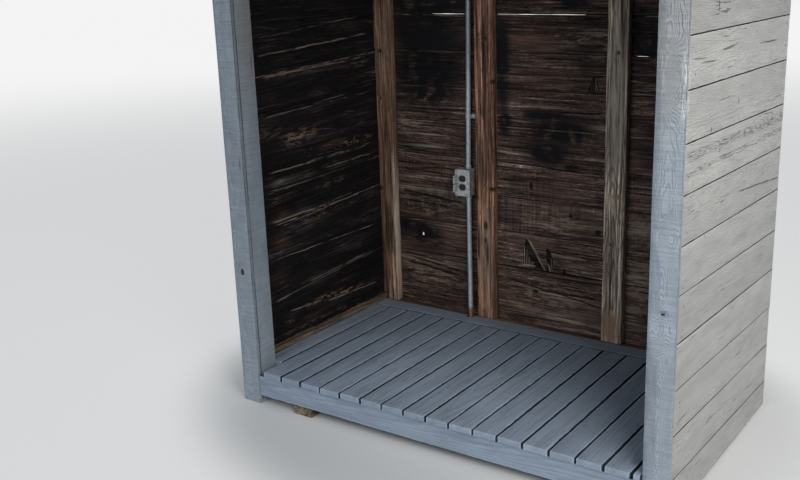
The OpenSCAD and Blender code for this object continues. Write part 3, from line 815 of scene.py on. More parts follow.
def roofing(name):
    """Granular roll roofing, faded, with streaks."""
    tree = surface(name)
    grit = tree.noise(tree.place, (900, 900, 900), 2.0, 0.7)
    fade = tree.noise(tree.place, (6, 1.2, 3), 4.0, 0.6)
    tree.colour = tree.mix(tree.ease(fade, 0.35, 0.65), (0.085, 0.09, 0.095),
                           (0.14, 0.14, 0.135))
    tree.shade(tree.ease(grit, 0.3, 0.7, 0.5, 1.6))
    return tree.close(0.9, 0.0012, (grit, 1.0))


# Marks and the materials

def on_outer(*rows):
    """Spots on the right wall's outside: (y, z, reach in X, Y and Z)."""
    return [((OUTER_X, y, z), radii) for y, z, *radii in rows]


def on_front(*rows):
    """Spots on the front, 50 mm deep: (x, z, reach in X and Z)."""
    return [((x, FRONT_Y, z), (rx, 0.05, rz)) for x, z, rx, rz in rows]


def on_stud(middle, deep, *rows):
    """Spots on a stud's face: (x from its middle, z, reach in X and Z)."""
    return [((middle + x, STUD_FACE, z), (rx, deep, rz)) for x, z, rx, rz in rows]


def on_back(*rows, deep=0.1):
    """Spots on the back wall's inside: (x, z, reach in X and Z)."""
    return [((x, BACK_IN, z), (rx, deep, rz)) for x, z, rx, rz in rows]


def on_left(*rows):
    """Spots on the left wall's inside: (y, z, reach in Y and Z)."""
    return [((-INNER_X, y, z), (0.1, ry, rz)) for y, z, ry, rz in rows]


# Floor paint with painted shade towards the back and on the boards' sides in the gaps, and a
# painted highlight along the arrises.
FLOOR_PAINT = painted(
    "floor_paint", (0.302, 0.364, 0.453), (0.16, 0.13, 0.11), wear=0.55, relief=0.0007,
    stain=0.55, contrast=0.14, cracks=0.6, gap_shade=0.97, edge_highlight=0.6, painted_back_shade=0.72,
    tones=(0.88, 1.08))
# A painted shadow line 4.5 mm behind the trim's front arris.
ARRIS_SHADE_Y = FRONT_Y + 0.0045
TRIM_PAINT = painted(
    "trim_paint", (0.285, 0.33, 0.38), (0.2, 0.18, 0.16), wear=0.12, relief=0.0024,
    stain=0.12, saw=0.9, contrast=0.17, ring_gap=0.0023, cracks=0.45, waver=0.045,
    # lighter towards the foot: painted light
    fibres=0.25, upright=True, ripple=0.01, lit_foot=1.22,
    knots=on_front((0.873, 0.702, 0.0085, 0.0048), (-0.87, 0.564, 0.0115, 0.0165)),
    burls=on_front((0.88, 1.4, 0.045, 0.16), (0.88, 0.937, 0.04, 0.09),
                   (0.862, 0.65, 0.04, 0.09)),
    # the dark joint at the post, and the painted shadow line behind the arris
    checks=[(0.0, FRONT_IN, HEADER_Z, FRONT_IN, 0.0024),
            (0.45, ARRIS_SHADE_Y, HEADER_Z, ARRIS_SHADE_Y, 0.0014)],
    # greyer at the top of the jamb and of the right corner board: painted shade
    shade_greys=[((-JAMB_X, -0.4, 1.95), (0.01, 0.1, 0.8)),
           ((0.87, FRONT_Y, 1.95), (0.1, 0.1, 0.9))],
    # a painted highlight on the corner board's lit side face
    worn=on_outer((-0.462, 1.38, 0.03, 0.03, 0.16)))
HOLE = (0.02, 0.004)
SIDING_PAINT = painted(
    "siding_paint", (0.46, 0.455, 0.44), (0.17, 0.155, 0.14), wear=0.22, relief=0.0019,
    # a painted highlight along the siding boards' arrises
    stain=0.14, contrast=0.09, cracks=0.7, gap_dark=0.08, pits=0.6, edge_highlight=0.25,
    waver=0.04, ripple=0.012, ring_gap=0.006,
    holes=on_outer(*((y, z, *HOLE, tall) for y, z, tall in (
        (0.175, 1.488, 0.004), (0.42, 1.33, 0.004), (-0.415, 0.62, 0.004),
        (0.08, 0.56, 0.004), (-0.4, 0.38, 0.004), (-0.425, 0.78, 0.004),
        (0.35, 0.98, 0.004), (-0.25, 0.9, 0.004), (-0.219, 1.595, 0.022),
        (0.023, 1.281, 0.013), (-0.237, 1.229, 0.012), (-0.144, 1.149, 0.008)))),
    burls=on_outer((-0.315, 0.8, 0.05, 0.16, 0.05), (0.119, 0.786, 0.05, 0.12, 0.04),
                   (0.05, 1.56, 0.05, 0.16, 0.04)),
    checks=[(-0.195, 1.46, -0.005, 1.467, 0.0034), (0.21, 1.446, 0.442, 1.44, 0.0024),
            (-0.43, 1.459, -0.3, 1.452, 0.0018), (-0.36, 1.441, -0.205, 1.436, 0.002),
            (0.067, 0.972, 0.57, 0.922, 0.0034)],
    rough=[(-0.45, 1.178, 0.58, 1.152, 0.02), (-0.45, 1.128, 0.58, 1.104, 0.012)],
    # a painted highlight on the siding's lit front end
    worn=on_outer((-0.446, 1.38, 0.03, 0.014, 0.15)))
RAW = bare("raw_lumber", (0.3, 0.22, 0.14), (0.17, 0.12, 0.08))
TAN = bare(
    "tan_wood", (0.44, 0.285, 0.185), (0.2, 0.11, 0.07), ring_gap=0.009, depth=0.7,
    grime=0.35, pale=(0.62, 0.52, 0.42), red=(0.15, 0.05, 0.03),
    # painted shade at the top of the stud and along its right edge
    streaks_and_shade=on_stud(0, 0.2, (-0.86, 1.75, 0.2, 0.36), (-0.8, 1.1, 0.012, 0.9)),
    knots=on_stud(0, 0.03, (-0.865, 1.345, 0.013, 0.01), (-0.888, 0.705, 0.012, 0.011),
                  (-0.87, 1.13, 0.006, 0.006)),
    pales=on_stud(0, 0.06, (-0.812, 0.52, 0.014, 0.5)),
    reds=on_stud(0, 0.04, (-0.85, 1.1, 0.006, 0.12), (-0.872, 0.9, 0.006, 0.14)),
    cracks=[(0.14, -0.842, 0.29, -0.846, 0.0035), (0.14, -0.822, 0.25, -0.824, 0.003),
            (0.3, -0.866, 0.62, -0.862, 0.0015)])
BROWN = bare(
    "brown_wood", (0.41, 0.215, 0.137), (0.2, 0.102, 0.069), ring_gap=0.009, depth=0.85,
    height_light=(1.02, 0.98), grime=0.4, pale=(0.36, 0.25, 0.18), red=(0.05, 0.02, 0.018),
    # a dark streak down the middle of the stud
    streaks_and_shade=on_stud(BROWN_X, 0.2, (0.004, 1.3, 0.005, 0.35)),
    knots=on_stud(BROWN_X, 0.03, (0.008, 1.412, 0.016, 0.012),
                  (0.003, 0.59, 0.011, 0.022), (0.001, 0.522, 0.007, 0.014),
                  (0.036, 0.76, 0.016, 0.012), (0.04, 1.23, 0.01, 0.012)),
    pales=on_stud(BROWN_X, 0.06, (0, 0.42, 0.05, 0.36)),
    reds=on_stud(BROWN_X, 0.04, (0.004, 1.12, 0.01, 0.26), (-0.034, 0.5, 0.01, 0.13),
                 (0.012, 0.46, 0.008, 0.09)))
GREY = bare(
    "grey_wood", (0.45, 0.36, 0.285), (0.35, 0.27, 0.21), ring_gap=0.006, ring_dark=0.36,
    # lighter at the foot and darker at the top: painted light
    depth=0.8, waver=0.08, height_light=(1.6, 0.8), grime=0.18, pale=(0.37, 0.32, 0.26),
    red=(0.3, 0.18, 0.12),
    knots=on_stud(GREY_X, 0.03, (0.004, 1.368, 0.009, 0.009),
                  (-0.01, 0.585, 0.006, 0.006)),
    pales=on_stud(GREY_X, 0.06, (0, 1.15, 0.05, 0.5)),
    reds=on_stud(GREY_X, 0.04, (0.015, 0.79, 0.035, 0.018))
    + on_stud(GREY_X, 0.05, (0, 0.22, 0.06, 0.12)))
BACK_CHAR = charred(
    "charred_back", ((0.016, 0.01, 0.009), (0.064, 0.041, 0.034), (0.23, 0.18, 0.145)),
    (0.36, 0.29, 0.23), burn=(0.5, 0.7, 0.6), level=0.9, wisps=0.45,
    fleck_colour=(0.26, 0.18, 0.13),
    soot_and_shadow=on_back(
        (-0.64, 1.28, 0.3, 0.32), (-0.695, 0.512, 0.17, 0.08),
        (-0.775, 0.535, 0.11, 0.065), (-0.02, 0.915, 0.1, 0.055),
        (-0.62, 1.56, 0.4, 0.1), (0.03, 1.03, 0.28, 0.09), (-0.64, 1.45, 0.3, 0.42),
        (-0.62, 1.17, 0.25, 0.1), (-0.035, 0.935, 0.15, 0.085),
        # the band at PIPE_X is a painted shadow along the conduit
        (0.085, 0.882, 0.07, 0.025), (PIPE_X + 0.003, 1.05, 0.026, 1.1),
        (0.08, 1.56, 0.12, 0.045), (-0.05, 1.095, 0.2, 0.035), (0.38, 1.42, 0.1, 0.16),
        (-0.25, 1.3, 0.055, 0.36), (-0.24, 1.05, 0.05, 0.09)),
    flecks=on_back(
        (-0.75, 1.02, 0.1, 0.05), (-0.72, 1.36, 0.14, 0.03), (-0.6, 1.13, 0.2, 0.02),
        (0.1, 1.42, 0.16, 0.04), (0.12, 1.02, 0.14, 0.05), (0.0, 0.64, 0.24, 0.08),
        (-0.64, 0.66, 0.26, 0.1), (-0.64, 0.32, 0.26, 0.12), (0.0, 0.3, 0.3, 0.1),
        (0.38, 0.5, 0.1, 0.35)),
    pales=on_back(
        (-0.64, 0.915, 0.26, 0.016), (-0.7, 0.97, 0.18, 0.02), (-0.64, 0.715, 0.26, 0.03),
        (-0.62, 0.36, 0.28, 0.06), (0.17, 1.43, 0.12, 0.035), (-0.17, 0.72, 0.1, 0.03),
        (0.1, 0.64, 0.2, 0.03), (0.2, 1.06, 0.12, 0.02), (0.0, 0.3, 0.24, 0.03),
        (0.38, 1.03, 0.08, 0.02), (0.38, 0.42, 0.08, 0.14), (-0.02, 0.47, 0.24, 0.05),
        (0.36, 0.28, 0.09, 0.06), (0.37, 0.66, 0.09, 0.06), (0.37, 1.2, 0.09, 0.03),
        (0.05, 0.46, 0.22, 0.025), (0.02, 0.2, 0.3, 0.05)),
    reds=on_back(
        (-0.64, 0.82, 0.26, 0.07), (-0.1, 1.4, 0.2, 0.09), (0.0, 1.24, 0.24, 0.07),
        (0.1, 1.02, 0.22, 0.05), (-0.62, 0.66, 0.22, 0.03), (-0.05, 0.78, 0.22, 0.05),
        (0.38, 0.95, 0.09, 0.08), (-0.02, 0.52, 0.22, 0.05)),
    browns=on_back(
        (0.0, 0.62, 0.34, 0.25), (0.37, 0.8, 0.12, 0.4), (-0.62, 0.42, 0.3, 0.25),
        (0.4, 0.5, 0.14, 0.35), (0.0, 0.24, 0.9, 0.12)),
    knots=on_back(
        (0.203, 0.616, 0.02, 0.016), (0.078, 0.674, 0.012, 0.012),
        (-0.113, 0.785, 0.012, 0.026), (-0.087, 0.31, 0.022, 0.012),
        (0.05, 0.42, 0.01, 0.02), deep=0.03),
    dark_lines=[
        (-0.8, 0.7, -0.46, 0.668, 0.006), (-0.76, 0.372, -0.46, 0.342, 0.006),
        (-0.1, 0.566, 0.24, 0.566, 0.004), (-0.1, 0.409, 0.24, 0.409, 0.004),
        (-0.8, 0.655, -0.5, 0.64, 0.004), (-0.78, 0.35, -0.46, 0.318, 0.007),
        (-0.8, 0.395, -0.55, 0.372, 0.004), (-0.09, 0.318, 0.23, 0.322, 0.005),
        (-0.24, 0.352, 0.24, 0.285, 0.004), (-0.26, 0.885, 0.16, 0.862, 0.004),
        (0.0, 1.108, 0.23, 1.118, 0.004), (-0.8, 0.905, -0.6, 0.893, 0.004)],
    blacks=on_back((-0.735, 0.532, 0.125, 0.066), (-0.03, 0.925, 0.105, 0.052),
                   (-0.64, 1.42, 0.3, 0.24)))
SIDE_CHAR = charred(
    "charred_side", ((0.004, 0.004, 0.005), (0.015, 0.012, 0.012), (0.12, 0.1, 0.09)),
    (0.24, 0.215, 0.195), burn=(0.35, 0.55, 0.75), sideways=True, level=0.95,
    rim_bare_lit_colour=(0.19, 0.17, 0.155), split_and_lit_colour=(0.23, 0.175, 0.135),
    fleck_colour=(0.34, 0.23, 0.165),
    # pale lines: bare split edges and painted highlights on the board edges
    lines=[
        (-0.27, 1.3985, 0.46, 1.4275, 0.0042), (-0.27, 0.915, 0.0, 0.924, 0.004),
        (-0.03, 0.923, 0.46, 0.9255, 0.0066), (-0.25, 0.844, 0.12, 0.846, 0.004),
        (0.1, 0.88, 0.46, 0.879, 0.0036), (-0.26, 0.711, 0.12, 0.714, 0.006),
        (0.1, 0.715, 0.3, 0.728, 0.003), (-0.2, 0.685, 0.45, 0.72, 0.002),
        (-0.26, 0.55, 0.45, 0.542, 0.0032), (-0.27, 0.37, 0.45, 0.416, 0.004),
        (-0.04, 0.396, 0.4, 0.418, 0.0026), (-0.18, 0.299, 0.17, 0.264, 0.004),
        (0.15, 0.264, 0.46, 0.254, 0.0034), (-0.26, 1.149, 0.28, 1.176, 0.0022),
        (-0.26, 1.468, 0.4, 1.508, 0.0014), (-0.26, 1.312, 0.46, 1.326, 0.0034),
        (-0.16, 1.305, 0.08, 1.334, 0.0024)],
    dark_lines=[(-0.25, 1.388, 0.3, 1.405, 0.006), (-0.25, 0.893, 0.2, 0.9, 0.006),
                (-0.25, 0.775, 0.45, 0.79, 0.005)],
    pales=on_left(
        (-0.05, 0.65, 0.22, 0.03), (-0.1, 0.87, 0.2, 0.03), (0.25, 0.86, 0.18, 0.02),
        (0.1, 0.8, 0.05, 0.045), (-0.05, 0.715, 0.3, 0.022),
        (0.03, 0.385, 0.16, 0.045), (0.1, 1.3, 0.35, 0.045), (0.3, 0.5, 0.2, 0.05),
        (-0.16, 0.27, 0.07, 0.02)),
    reds=on_left(
        (-0.1, 1.392, 0.2, 0.018), (0.103, 1.224, 0.09, 0.038),
        (-0.22, 1.217, 0.07, 0.03), (0.18, 0.978, 0.18, 0.03),
        (-0.215, 0.74, 0.09, 0.06), (-0.2, 0.62, 0.08, 0.04),
        (0.12, 0.83, 0.04, 0.03), (-0.22, 0.48, 0.1, 0.05), (0.05, 0.232, 0.4, 0.022)),
    flecks=on_left(
        (-0.225, 1.082, 0.12, 0.03), (-0.06, 1.05, 0.16, 0.05),
        (-0.12, 1.012, 0.12, 0.016), (0.34, 0.962, 0.16, 0.026), (0.16, 0.8, 0.16, 0.03),
        (0.1, 0.68, 0.3, 0.022), (0.3, 0.58, 0.16, 0.018), (-0.05, 1.315, 0.4, 0.026),
        (0.35, 1.3, 0.16, 0.018), (0.3, 1.09, 0.06, 0.016), (0.0, 0.29, 0.26, 0.018),
        (0.25, 0.27, 0.24, 0.022), (0.0, 0.205, 0.5, 0.012),
        (-0.182, 0.258, 0.05, 0.022)))
ZINC = metal("zinc_steel", (0.41, 0.46, 0.52), (0.24, 0.24, 0.23), 0.42, 0.35, 0.5,
             rust=[((FOOT_X, FOOT_Y, 0.15), (0.05, 0.05, 0.055))],
             # the conduit's upper part is darker: painted shade
             shade_spots=[((PIPE_X, PIPE_Y, 1.68), (0.05, 0.05, 0.62))])
# Char and painted shade inside the knot hole and the broken knots' pockets: near black.
HOLLOW_SHADE = charred("charred_hollow_shade", ((0.003, 0.003, 0.003), (0.012, 0.009, 0.008),
                                  (0.04, 0.03, 0.024)), (0.16, 0.11, 0.08), wisps=0.35)
CAST = metal("cast_metal", (0.5, 0.53, 0.52), (0.14, 0.13, 0.11), 0.55, 0.2, 0.6)
BOX_METAL = metal("box_metal", (0.3, 0.315, 0.31), (0.1, 0.095, 0.085), 0.6, 0.2, 0.7)
PLASTIC = metal("dark_plastic", (0.01, 0.01, 0.011), (0.025, 0.022, 0.02), 0.5, 0.0,
                0.4)
ROOFING = roofing("roll_roofing")
SPLINTER = bare("splinter_wood", (0.34, 0.26, 0.19), (0.14, 0.09, 0.06), ring_gap=0.003)
CLEAT = bare("cleat_wood", (0.25, 0.185, 0.135), (0.13, 0.088, 0.062), grime=0.6,
             depth=0.8)
SILL = bare("sill_wood", (0.2, 0.14, 0.095), (0.1, 0.062, 0.042), grime=0.5)
SCREW = metal("screw_steel", (0.36, 0.36, 0.34), (0.13, 0.1, 0.08), 0.45, 0.5, 0.6)
NAIL = metal("nail_steel", (0.2, 0.2, 0.2), (0.12, 0.09, 0.07), 0.6, 0.2, 0.7)


# Walls

def slit(ranges):
    """How far an edge stands back: half of each (start, end, gap), else a hair over."""
    def stand_back(at):
        value = -JOIN
        for start, end, gap in ranges:
            inside = min(1.0, max(0.0, min(at - start, end - at) / 0.012))
            uneven = 1.0 + 0.25 * wave(at * 13, start, 0.5)
            value = max(value, -JOIN + (gap / 2 * uneven + JOIN) * inside)
        return value
    return stand_back


def fill(boards, near, far, along, out, seed, **shape):
    """A board that fills a box, lengthwise along X, Y or Z, its broad face towards out."""
    near, far = Vector(near), Vector(far)
    size = far - near
    a = max(range(3), key=lambda i: along[i])
    o = max(range(3), key=lambda i: abs(out[i]))
    c = 3 - a - o
    corner = near.copy()
    if out[o] < 0:
        corner[o] = far[o]
    boards.add(corner, along, (X, Y, Z)[c], out, (size[a], size[c], size[o]), seed,
               **shape)


def single(name, node, near, far, along, out, material, seed, **shape):
    """One board as a piece of its own."""
    boards = Boards()
    fill(boards, near, far, along, out, seed, **shape)
    boards.build(name, [material], node)


def seam_line(front, back):
    """A joint's height along Y, from its heights near the front and near the back."""
    return lambda y: front + (back - front) * (y + 0.25) / 0.75


def side_wall(name, node, side, seams, seed, rims, tones, cup):
    """One side wall of horizontal boards, from its joints' heights front and back."""
    boards = Boards()
    roof_z = rafter_top(FRONT_IN)
    lines = [seam_line(*pair) for pair in seams]
    for i, (under, over) in enumerate(zip(lines, lines[1:])):
        z0 = min(under(FRONT_IN), under(WALL_END))
        if z0 > roof_z - 0.02:
            break
        z1 = min(max(over(FRONT_IN), over(WALL_END)), roof_z)
        end = min(WALL_END, FRONT_IN + (roof_z - z0 - 0.012) / SLOPE)

        def low(at):
            return under(FRONT_IN + at) - z0 - JOIN

        def high(at):
            y = FRONT_IN + at
            return z1 - min(over(y) + JOIN, rafter_top(y))
        rng = random.Random(seed + i)
        # the look's second value is the pale rim: bare wood and painted highlight
        look = (tones[i % len(tones)], rims[i % len(rims)], rng.uniform(0, 0.6))
        boards.add(Vector((side * INNER_X, FRONT_IN, z0)), Y, Z, side * X,
                   (end - FRONT_IN, z1 - z0, PLANK), seed + i, low=low, high=high,
                   slots=(0, 1, 1), look=look, bow=0.0012, cup=cup, soft=0.0026, cap=0,
                   ends=(0.0, rng.uniform(0.0, 0.004)), wander=0.0003, spans=8)
    boards.build(name, [SIDING_PAINT, SIDE_CHAR], node)


def right_seam(k):
    """A joint of the right wall, which drops towards the back, less so higher up."""
    front = 0.135 + SIDE_PITCH * k
    return front, front - min(0.032, max(0.004, 0.032 - 0.0045 * (k - 4)))


side_wall("right_siding", "right_wall_boards", 1,
          [(SIDING_BOTTOM, SIDING_BOTTOM)] + [right_seam(k) for k in range(16)], 100,
          [0.2], [0.3, 0.7, 0.5, 0.9, 0.2, 0.6], 0.0004)
side_wall("left_siding", "left_wall_boards", -1,
          [(SIDING_BOTTOM, SIDING_BOTTOM), (0.094, 0.094), (0.24, 0.25), (0.376, 0.416),
           (0.553, 0.543), (0.699, 0.725), (0.843, 0.861), (0.992, 1.001), (1.156, 1.172),
           (1.322, 1.344), (1.488, 1.494)] + [(1.645 + 0.1551 * k,) * 2 for k in range(7)],
          200, [0.0, 0.15, 0.3, 0.1, 0.85, 0.55, 0.0, 0.35, 0.9, 0.1, 0.1],
          [0.3, 0.5, 0.2, 0.35, 0.6, 0.25, 0.2, 0.7, 0.45, 0.35, 0.5], -0.0034)

# The knot hole goes through one plank; it lies at a distance along it and at a height
KNOT_PLANK = 3
KNOT_AT = 1.5765
KNOT_Z = 0.496
# Pockets of broken knots: plank, its stretch, width, depth, floor's share, outline (x, z)
POCKETS = (
    (3, (0.933, 1.066), 0.157, 0.01, 0.94, (
        (-0.134, 0.548), (-0.15, 0.5), (-0.152, 0.42), (-0.12, 0.417),
        (-0.085, 0.418), (-0.052, 0.418), (-0.068, 0.45), (-0.095, 0.492),
        (-0.118, 0.53))),
    (3, (0.888, 0.933), 0.157, 0.008, 0.92, (
        (-0.036, 0.512), (-0.04, 0.47), (-0.03, 0.44), (-0.036, 0.414),
        (-0.008, 0.415), (-0.004, 0.455), (-0.014, 0.492), (-0.026, 0.512))),
    (8, (0.68, 0.765), 0.079, 0.007, 0.92, (
        (0.171, 1.272), (0.16, 1.24), (0.148, 1.205), (0.15, 1.201), (0.172, 1.199),
        (0.196, 1.201), (0.197, 1.214), (0.184, 1.248))))


def back_wall():
    """The back wall: planks with light gaps, a knot hole and broken knots."""
    boards = Boards()
    top = FRONT_H - (BACK_OUT - FRONT_IN) * SLOPE
    first_gaps = [(0.37, 0.44, 0.0024), (0.763, 1.18, 0.0024), (0.81, 0.93, 0.0032),
                  (1.0, 1.065, 0.0038), (1.33, 1.52, 0.0022), (1.38, 1.46, 0.0034)]
    gaps = {9: first_gaps, 8: [(0.49, 0.518, 0.0028), (0.528, 0.562, 0.0029)]}
    lifts = [0.0, 0.0005, -0.001, 0.0012, -0.0006, 0.001, -0.0012, 0.0006, -0.0008,
             0.0012, -0.0004, 0.0008, 0.0, 0.0]
    tones = [0.6, 0.7, 0.5, 0.85, 0.7, 0.8, 0.55, 0.75, 0.35, 0.25, 0.4, 0.3, 0.35, 0.4]
    saws = [0.2, 0.4, 0.2, 0.3, 0.9, 1.0, 0.3, 0.6, 0.2, 0.2, 0.5, 0.3, 0.2, 0.2]
    lines = [SIDING_BOTTOM] + [BACK_FIRST + BACK_PITCH * k for k in range(BACK_COUNT)]
    for i, (z0, z1) in enumerate(zip(lines, lines[1:])):
        z1 = min(z1, top)
        if z1 - z0 < 0.01:
            continue
        marks = {mark for plank, run, *_ in POCKETS if plank == i for mark in run}
        if i == KNOT_PLANK:
            marks |= {KNOT_AT - 0.01, KNOT_AT + 0.026}
        board = boards.add(
            Vector((INNER_X, BACK_IN, z0)), -X, Z, Y, (2 * INNER_X, z1 - z0, PLANK),
            300 + i, low=slit(gaps.get(i - 1, ())), high=slit(gaps.get(i, ())),
            slots=(0, 1, 1), look=(tones[i], 0.15 + 0.3 * (i % 3 == 0), saws[i]),
            bow=0.0013, cup=-0.0012, soft=0.0028, wander=0.0003, lift=lifts[i],
            marks=marks)
        if i == KNOT_PLANK:
            knot_hole(boards, board, KNOT_Z - z0)
        for plank, run, width, depth, share, shape in POCKETS:
            if plank == i:
                boards.open(board, run, (0.0, width), [(INNER_X - x, z - z0) for x, z in shape],
                            depth, share)
    boards.build("back_planks", [SIDING_PAINT, BACK_CHAR, HOLLOW_SHADE], "back_wall_boards",
                 "charred_wood")


def knot_hole(boards, board, across):
    """A small ragged hole that goes through the plank at a slant, as its branch did."""
    rng = random.Random(31)
    loop = []
    for k in range(14):
        turn = 2 * math.pi * k / 14
        reach = 0.0075 * rng.uniform(0.8, 1.2)
        loop.append((KNOT_AT + reach * 0.62 * math.cos(turn),
                     across + reach * math.sin(turn)))
    boards.open(board, (KNOT_AT - 0.01, KNOT_AT + 0.026), (across - 0.03, across + 0.012),
                loop, slant=(0.0125, -0.0065))


def sliver(boards, start, end, wide, tall, out, tone, seed):
    """One sliver from one place on the back wall to another."""
    (x0, z0), (x1, z1) = start, end
    run = Vector((x1 - x0, 0, z1 - z0))
    length = run.length
    run.normalize()
    across = Vector((run.z, 0, -run.x))

    def taper(at):
        return wide * 0.42 * (1 - min(1.0, at / (0.35 * length)))
    boards.add(Vector((x0, BACK_IN + out, z0)) - across * wide / 2, run, across, -Y,
               (length, wide, tall), seed, low=taper, high=taper,
               soft=min(wide, tall) * 0.25, step=0.012, spans=2, rough=0.001, bow=0.002,
               look=(tone, 0, 0))


def splinters():
    """Pale slivers that stand in and over the broken knots."""
    boards = Boards()
    rng = random.Random(77)
    for start, end, wide, tall, out, tone in (
            ((-0.13, 0.55), (-0.04, 0.412), 0.0085, 0.006, 0.002, 1.0),
            ((-0.118, 0.54), (-0.055, 0.44), 0.004, 0.004, 0.001, 0.5),
            ((-0.026, 0.448), (-0.016, 0.411), 0.005, 0.004, 0.001, 0.7),
            ((-0.014, 0.47), (-0.008, 0.412), 0.004, 0.003, 0.001, 0.3),
            ((-0.088, 0.424), (-0.154, 0.421), 0.011, 0.01, 0.0085, 0.9)):
        sliver(boards, start, end, wide, tall, out, tone, rng.randrange(999))
    for k in range(8):
        x = -0.1475 + 0.0062 * k + rng.uniform(-0.0015, 0.0015)
        top = 0.505 - 0.01 * k + rng.uniform(-0.018, 0.01)
        start = (x + rng.uniform(0.0, 0.006), top)
        wide = rng.uniform(0.0018, 0.0038)
        tall = rng.uniform(0.002, 0.005)
        tone = rng.uniform(0.0, 0.5)
        sliver(boards, start, (x, 0.424), wide, tall, 0.009, tone, rng.randrange(999))
    for start, end, wide, tone in (((0.166, 1.255), (0.156, 1.203), 0.004, 0.8),
                                   ((0.172, 1.245), (0.168, 1.203), 0.003, 0.3),
                                   ((0.176, 1.262), (0.181, 1.202), 0.0042, 0.9),
                                   ((0.18, 1.24), (0.191, 1.203), 0.003, 0.5)):
        sliver(boards, start, end, wide, 0.0045, 0.006, tone, rng.randrange(999))
    boards.build("splinters", [SPLINTER])


back_wall()
splinters()


# Posts, studs and frame

def worn_foot(depth, reach, seed):
    """An edge that is worn back unevenly towards its foot."""
    def stand_back(at):
        if at > reach:
            return 0.0
        uneven = 0.75 + 0.6 * wave(at * 9, seed, 0.3)
        return depth * ((reach - at) / reach) ** 0.5 * uneven
    return stand_back


def ragged(depth, seed):
    """An edge with chips and splinters out of it."""
    def stand_back(at):
        return depth * max(0.0, 0.5 + wave(at * 6.0, seed, 0.0)
                           + 0.5 * wave(at * 40.0, seed, 5.0))
    return stand_back


def notch(at):
    """The back border's edge steps back where the conduit goes down."""
    off = abs(at - NOTCH_AT)
    return 0.0277 * min(1.0, max(0.0, (0.02 - off) / 0.006))


def stud(name, node, middle, material, seed, **shape):
    """One stud laid flat against the back wall."""
    single(name, node, (middle - STUD_W / 2, STUD_FACE, FLOOR_Z),
           (middle + STUD_W / 2, BACK_IN - 0.0006, PLATE_BOTTOM), Z, -Y, material, seed,
           soft=0.003, **shape)


single("left_corner_trim", "left_corner_board", (-OUTER_X, FRONT_Y, 0),
       (-JAMB_X, FRONT_IN, FRONT_H), Z, -Y, TRIM_PAINT, 401, soft=0.0022, wander=0.0012,
       high=worn_foot(0.002, 0.5, 4.0), log=(0.03, -0.06), look=(0.25, 0, 0))
single("right_corner_trim", "right_corner_board", (JAMB_X, FRONT_Y, 0),
       (OUTER_X, FRONT_IN, FRONT_H), Z, -Y, TRIM_PAINT, 402, soft=0.0022, wander=0.001,
       log=(0.045, -0.03), lean=(0.004, 0.03), look=(0.8, 0, 0))
single("left_post", "left_front_post", (-INNER_X, FRONT_IN, 0),
       (-JAMB_X, POST_BACK, HEADER_Z), Z, -Y, TRIM_PAINT, 403, soft=0.003, wander=0.001)
single("right_post", "right_front_post", (JAMB_X, FRONT_IN, 0),
       (INNER_X, POST_BACK, HEADER_Z), Z, -Y, TRIM_PAINT, 404, soft=0.003, wander=0.001)
stud("corner_stud", "left_corner_stud", -CORNER_X, TAN, 411, wander=0.0015,
     high=worn_foot(0.006, 0.85, 2.0), log=(0.05, -0.05), lean=(0.004, 0.02),
     look=(0.6, 0, 0), rough=0.0012)
stud("middle_stud", "brown_stud", BROWN_X, BROWN, 412, wander=0.0012,
     log=(0.04, -0.035), lean=(0.006, -0.02), look=(0.7, 0, 0), rough=0.001)
stud("weathered_stud", "grey_stud", GREY_X, GREY, 413, wander=0.0012,
     log=(0.04, -0.022), lean=(0.002, 0.012), look=(0.6, 0, 0), rough=0.0014)
stud("far_corner_stud", "right_corner_stud", CORNER_X, BROWN, 414,
     wander=0.001)
single("wall_plate", "back_plate", (-INNER_X, STUD_FACE, PLATE_BOTTOM),
       (INNER_X, BACK_IN, PLATE_BOTTOM + STUD_W), X, -Y, BROWN, 415)
single("door_header", "front_header", (-INNER_X, FRONT_IN, HEADER_Z),
       (INNER_X, FRONT_IN + STUD_T, FRONT_H), X, -Y, RAW, 416)
single("header_trim", "front_header_board", (-JAMB_X, FRONT_Y, HEADER_Z),
       (JAMB_X, FRONT_IN, FRONT_H), X, -Y, TRIM_PAINT, 417, soft=0.0022)


# Floor

def narrow(back, front, seed):
    """An edge that stands back by different amounts at the back and the front."""
    def stand_back(at):
        share = at / (FLOOR_Y1 - FLOOR_Y0)
        return front + (back - front) * share + 0.0009 * wave(at * 4.0, seed, 2.0)
    return stand_back


def floor():
    """Floor planks with worn edges, uneven gaps and a notch round the right post."""
    boards = Boards()
    rng = random.Random(55)
    last = DECK_COUNT - 1
    for i in range(DECK_COUNT):
        low = DECK_X0 + i * DECK_PITCH
        high = low + DECK_W if i < last else DECK_END
        near = narrow(rng.uniform(-0.001, 0.0012), rng.uniform(-0.001, 0.0012), i)
        far = narrow(rng.uniform(-0.001, 0.0012), rng.uniform(-0.001, 0.0012), i + 50)
        if i in (10, 12):
            near = narrow(0.0045, 0.0, i)
        if i == 15:
            near = narrow(0.0, 0.004, i)
        marks = ()
        front = 0.0
        if i == last:
            marks = (0.1205, 0.1222)
            behind = near

            def near(at):
                return 0.0705 if at < 0.1212 else behind(at)
        else:
            front = rng.uniform(0.0, 0.0025)
        boards.add(Vector((high, FLOOR_Y0, DECK_Z)), Y, -X, Z,
                   (FLOOR_Y1 - FLOOR_Y0, high - low, DECK_T), 500 + i, low=near,
                   high=far, bow=0.0012, cup=-0.0006, soft=0.0032, step=0.025,
                   marks=marks, ends=(front, rng.uniform(0.0, 0.002)), rough=0.0006,
                   look=(rng.uniform(0.15, 0.85), 0, 0), lift=-0.0006)
    boards.build("floor_planks", [FLOOR_PAINT], "floor_boards")


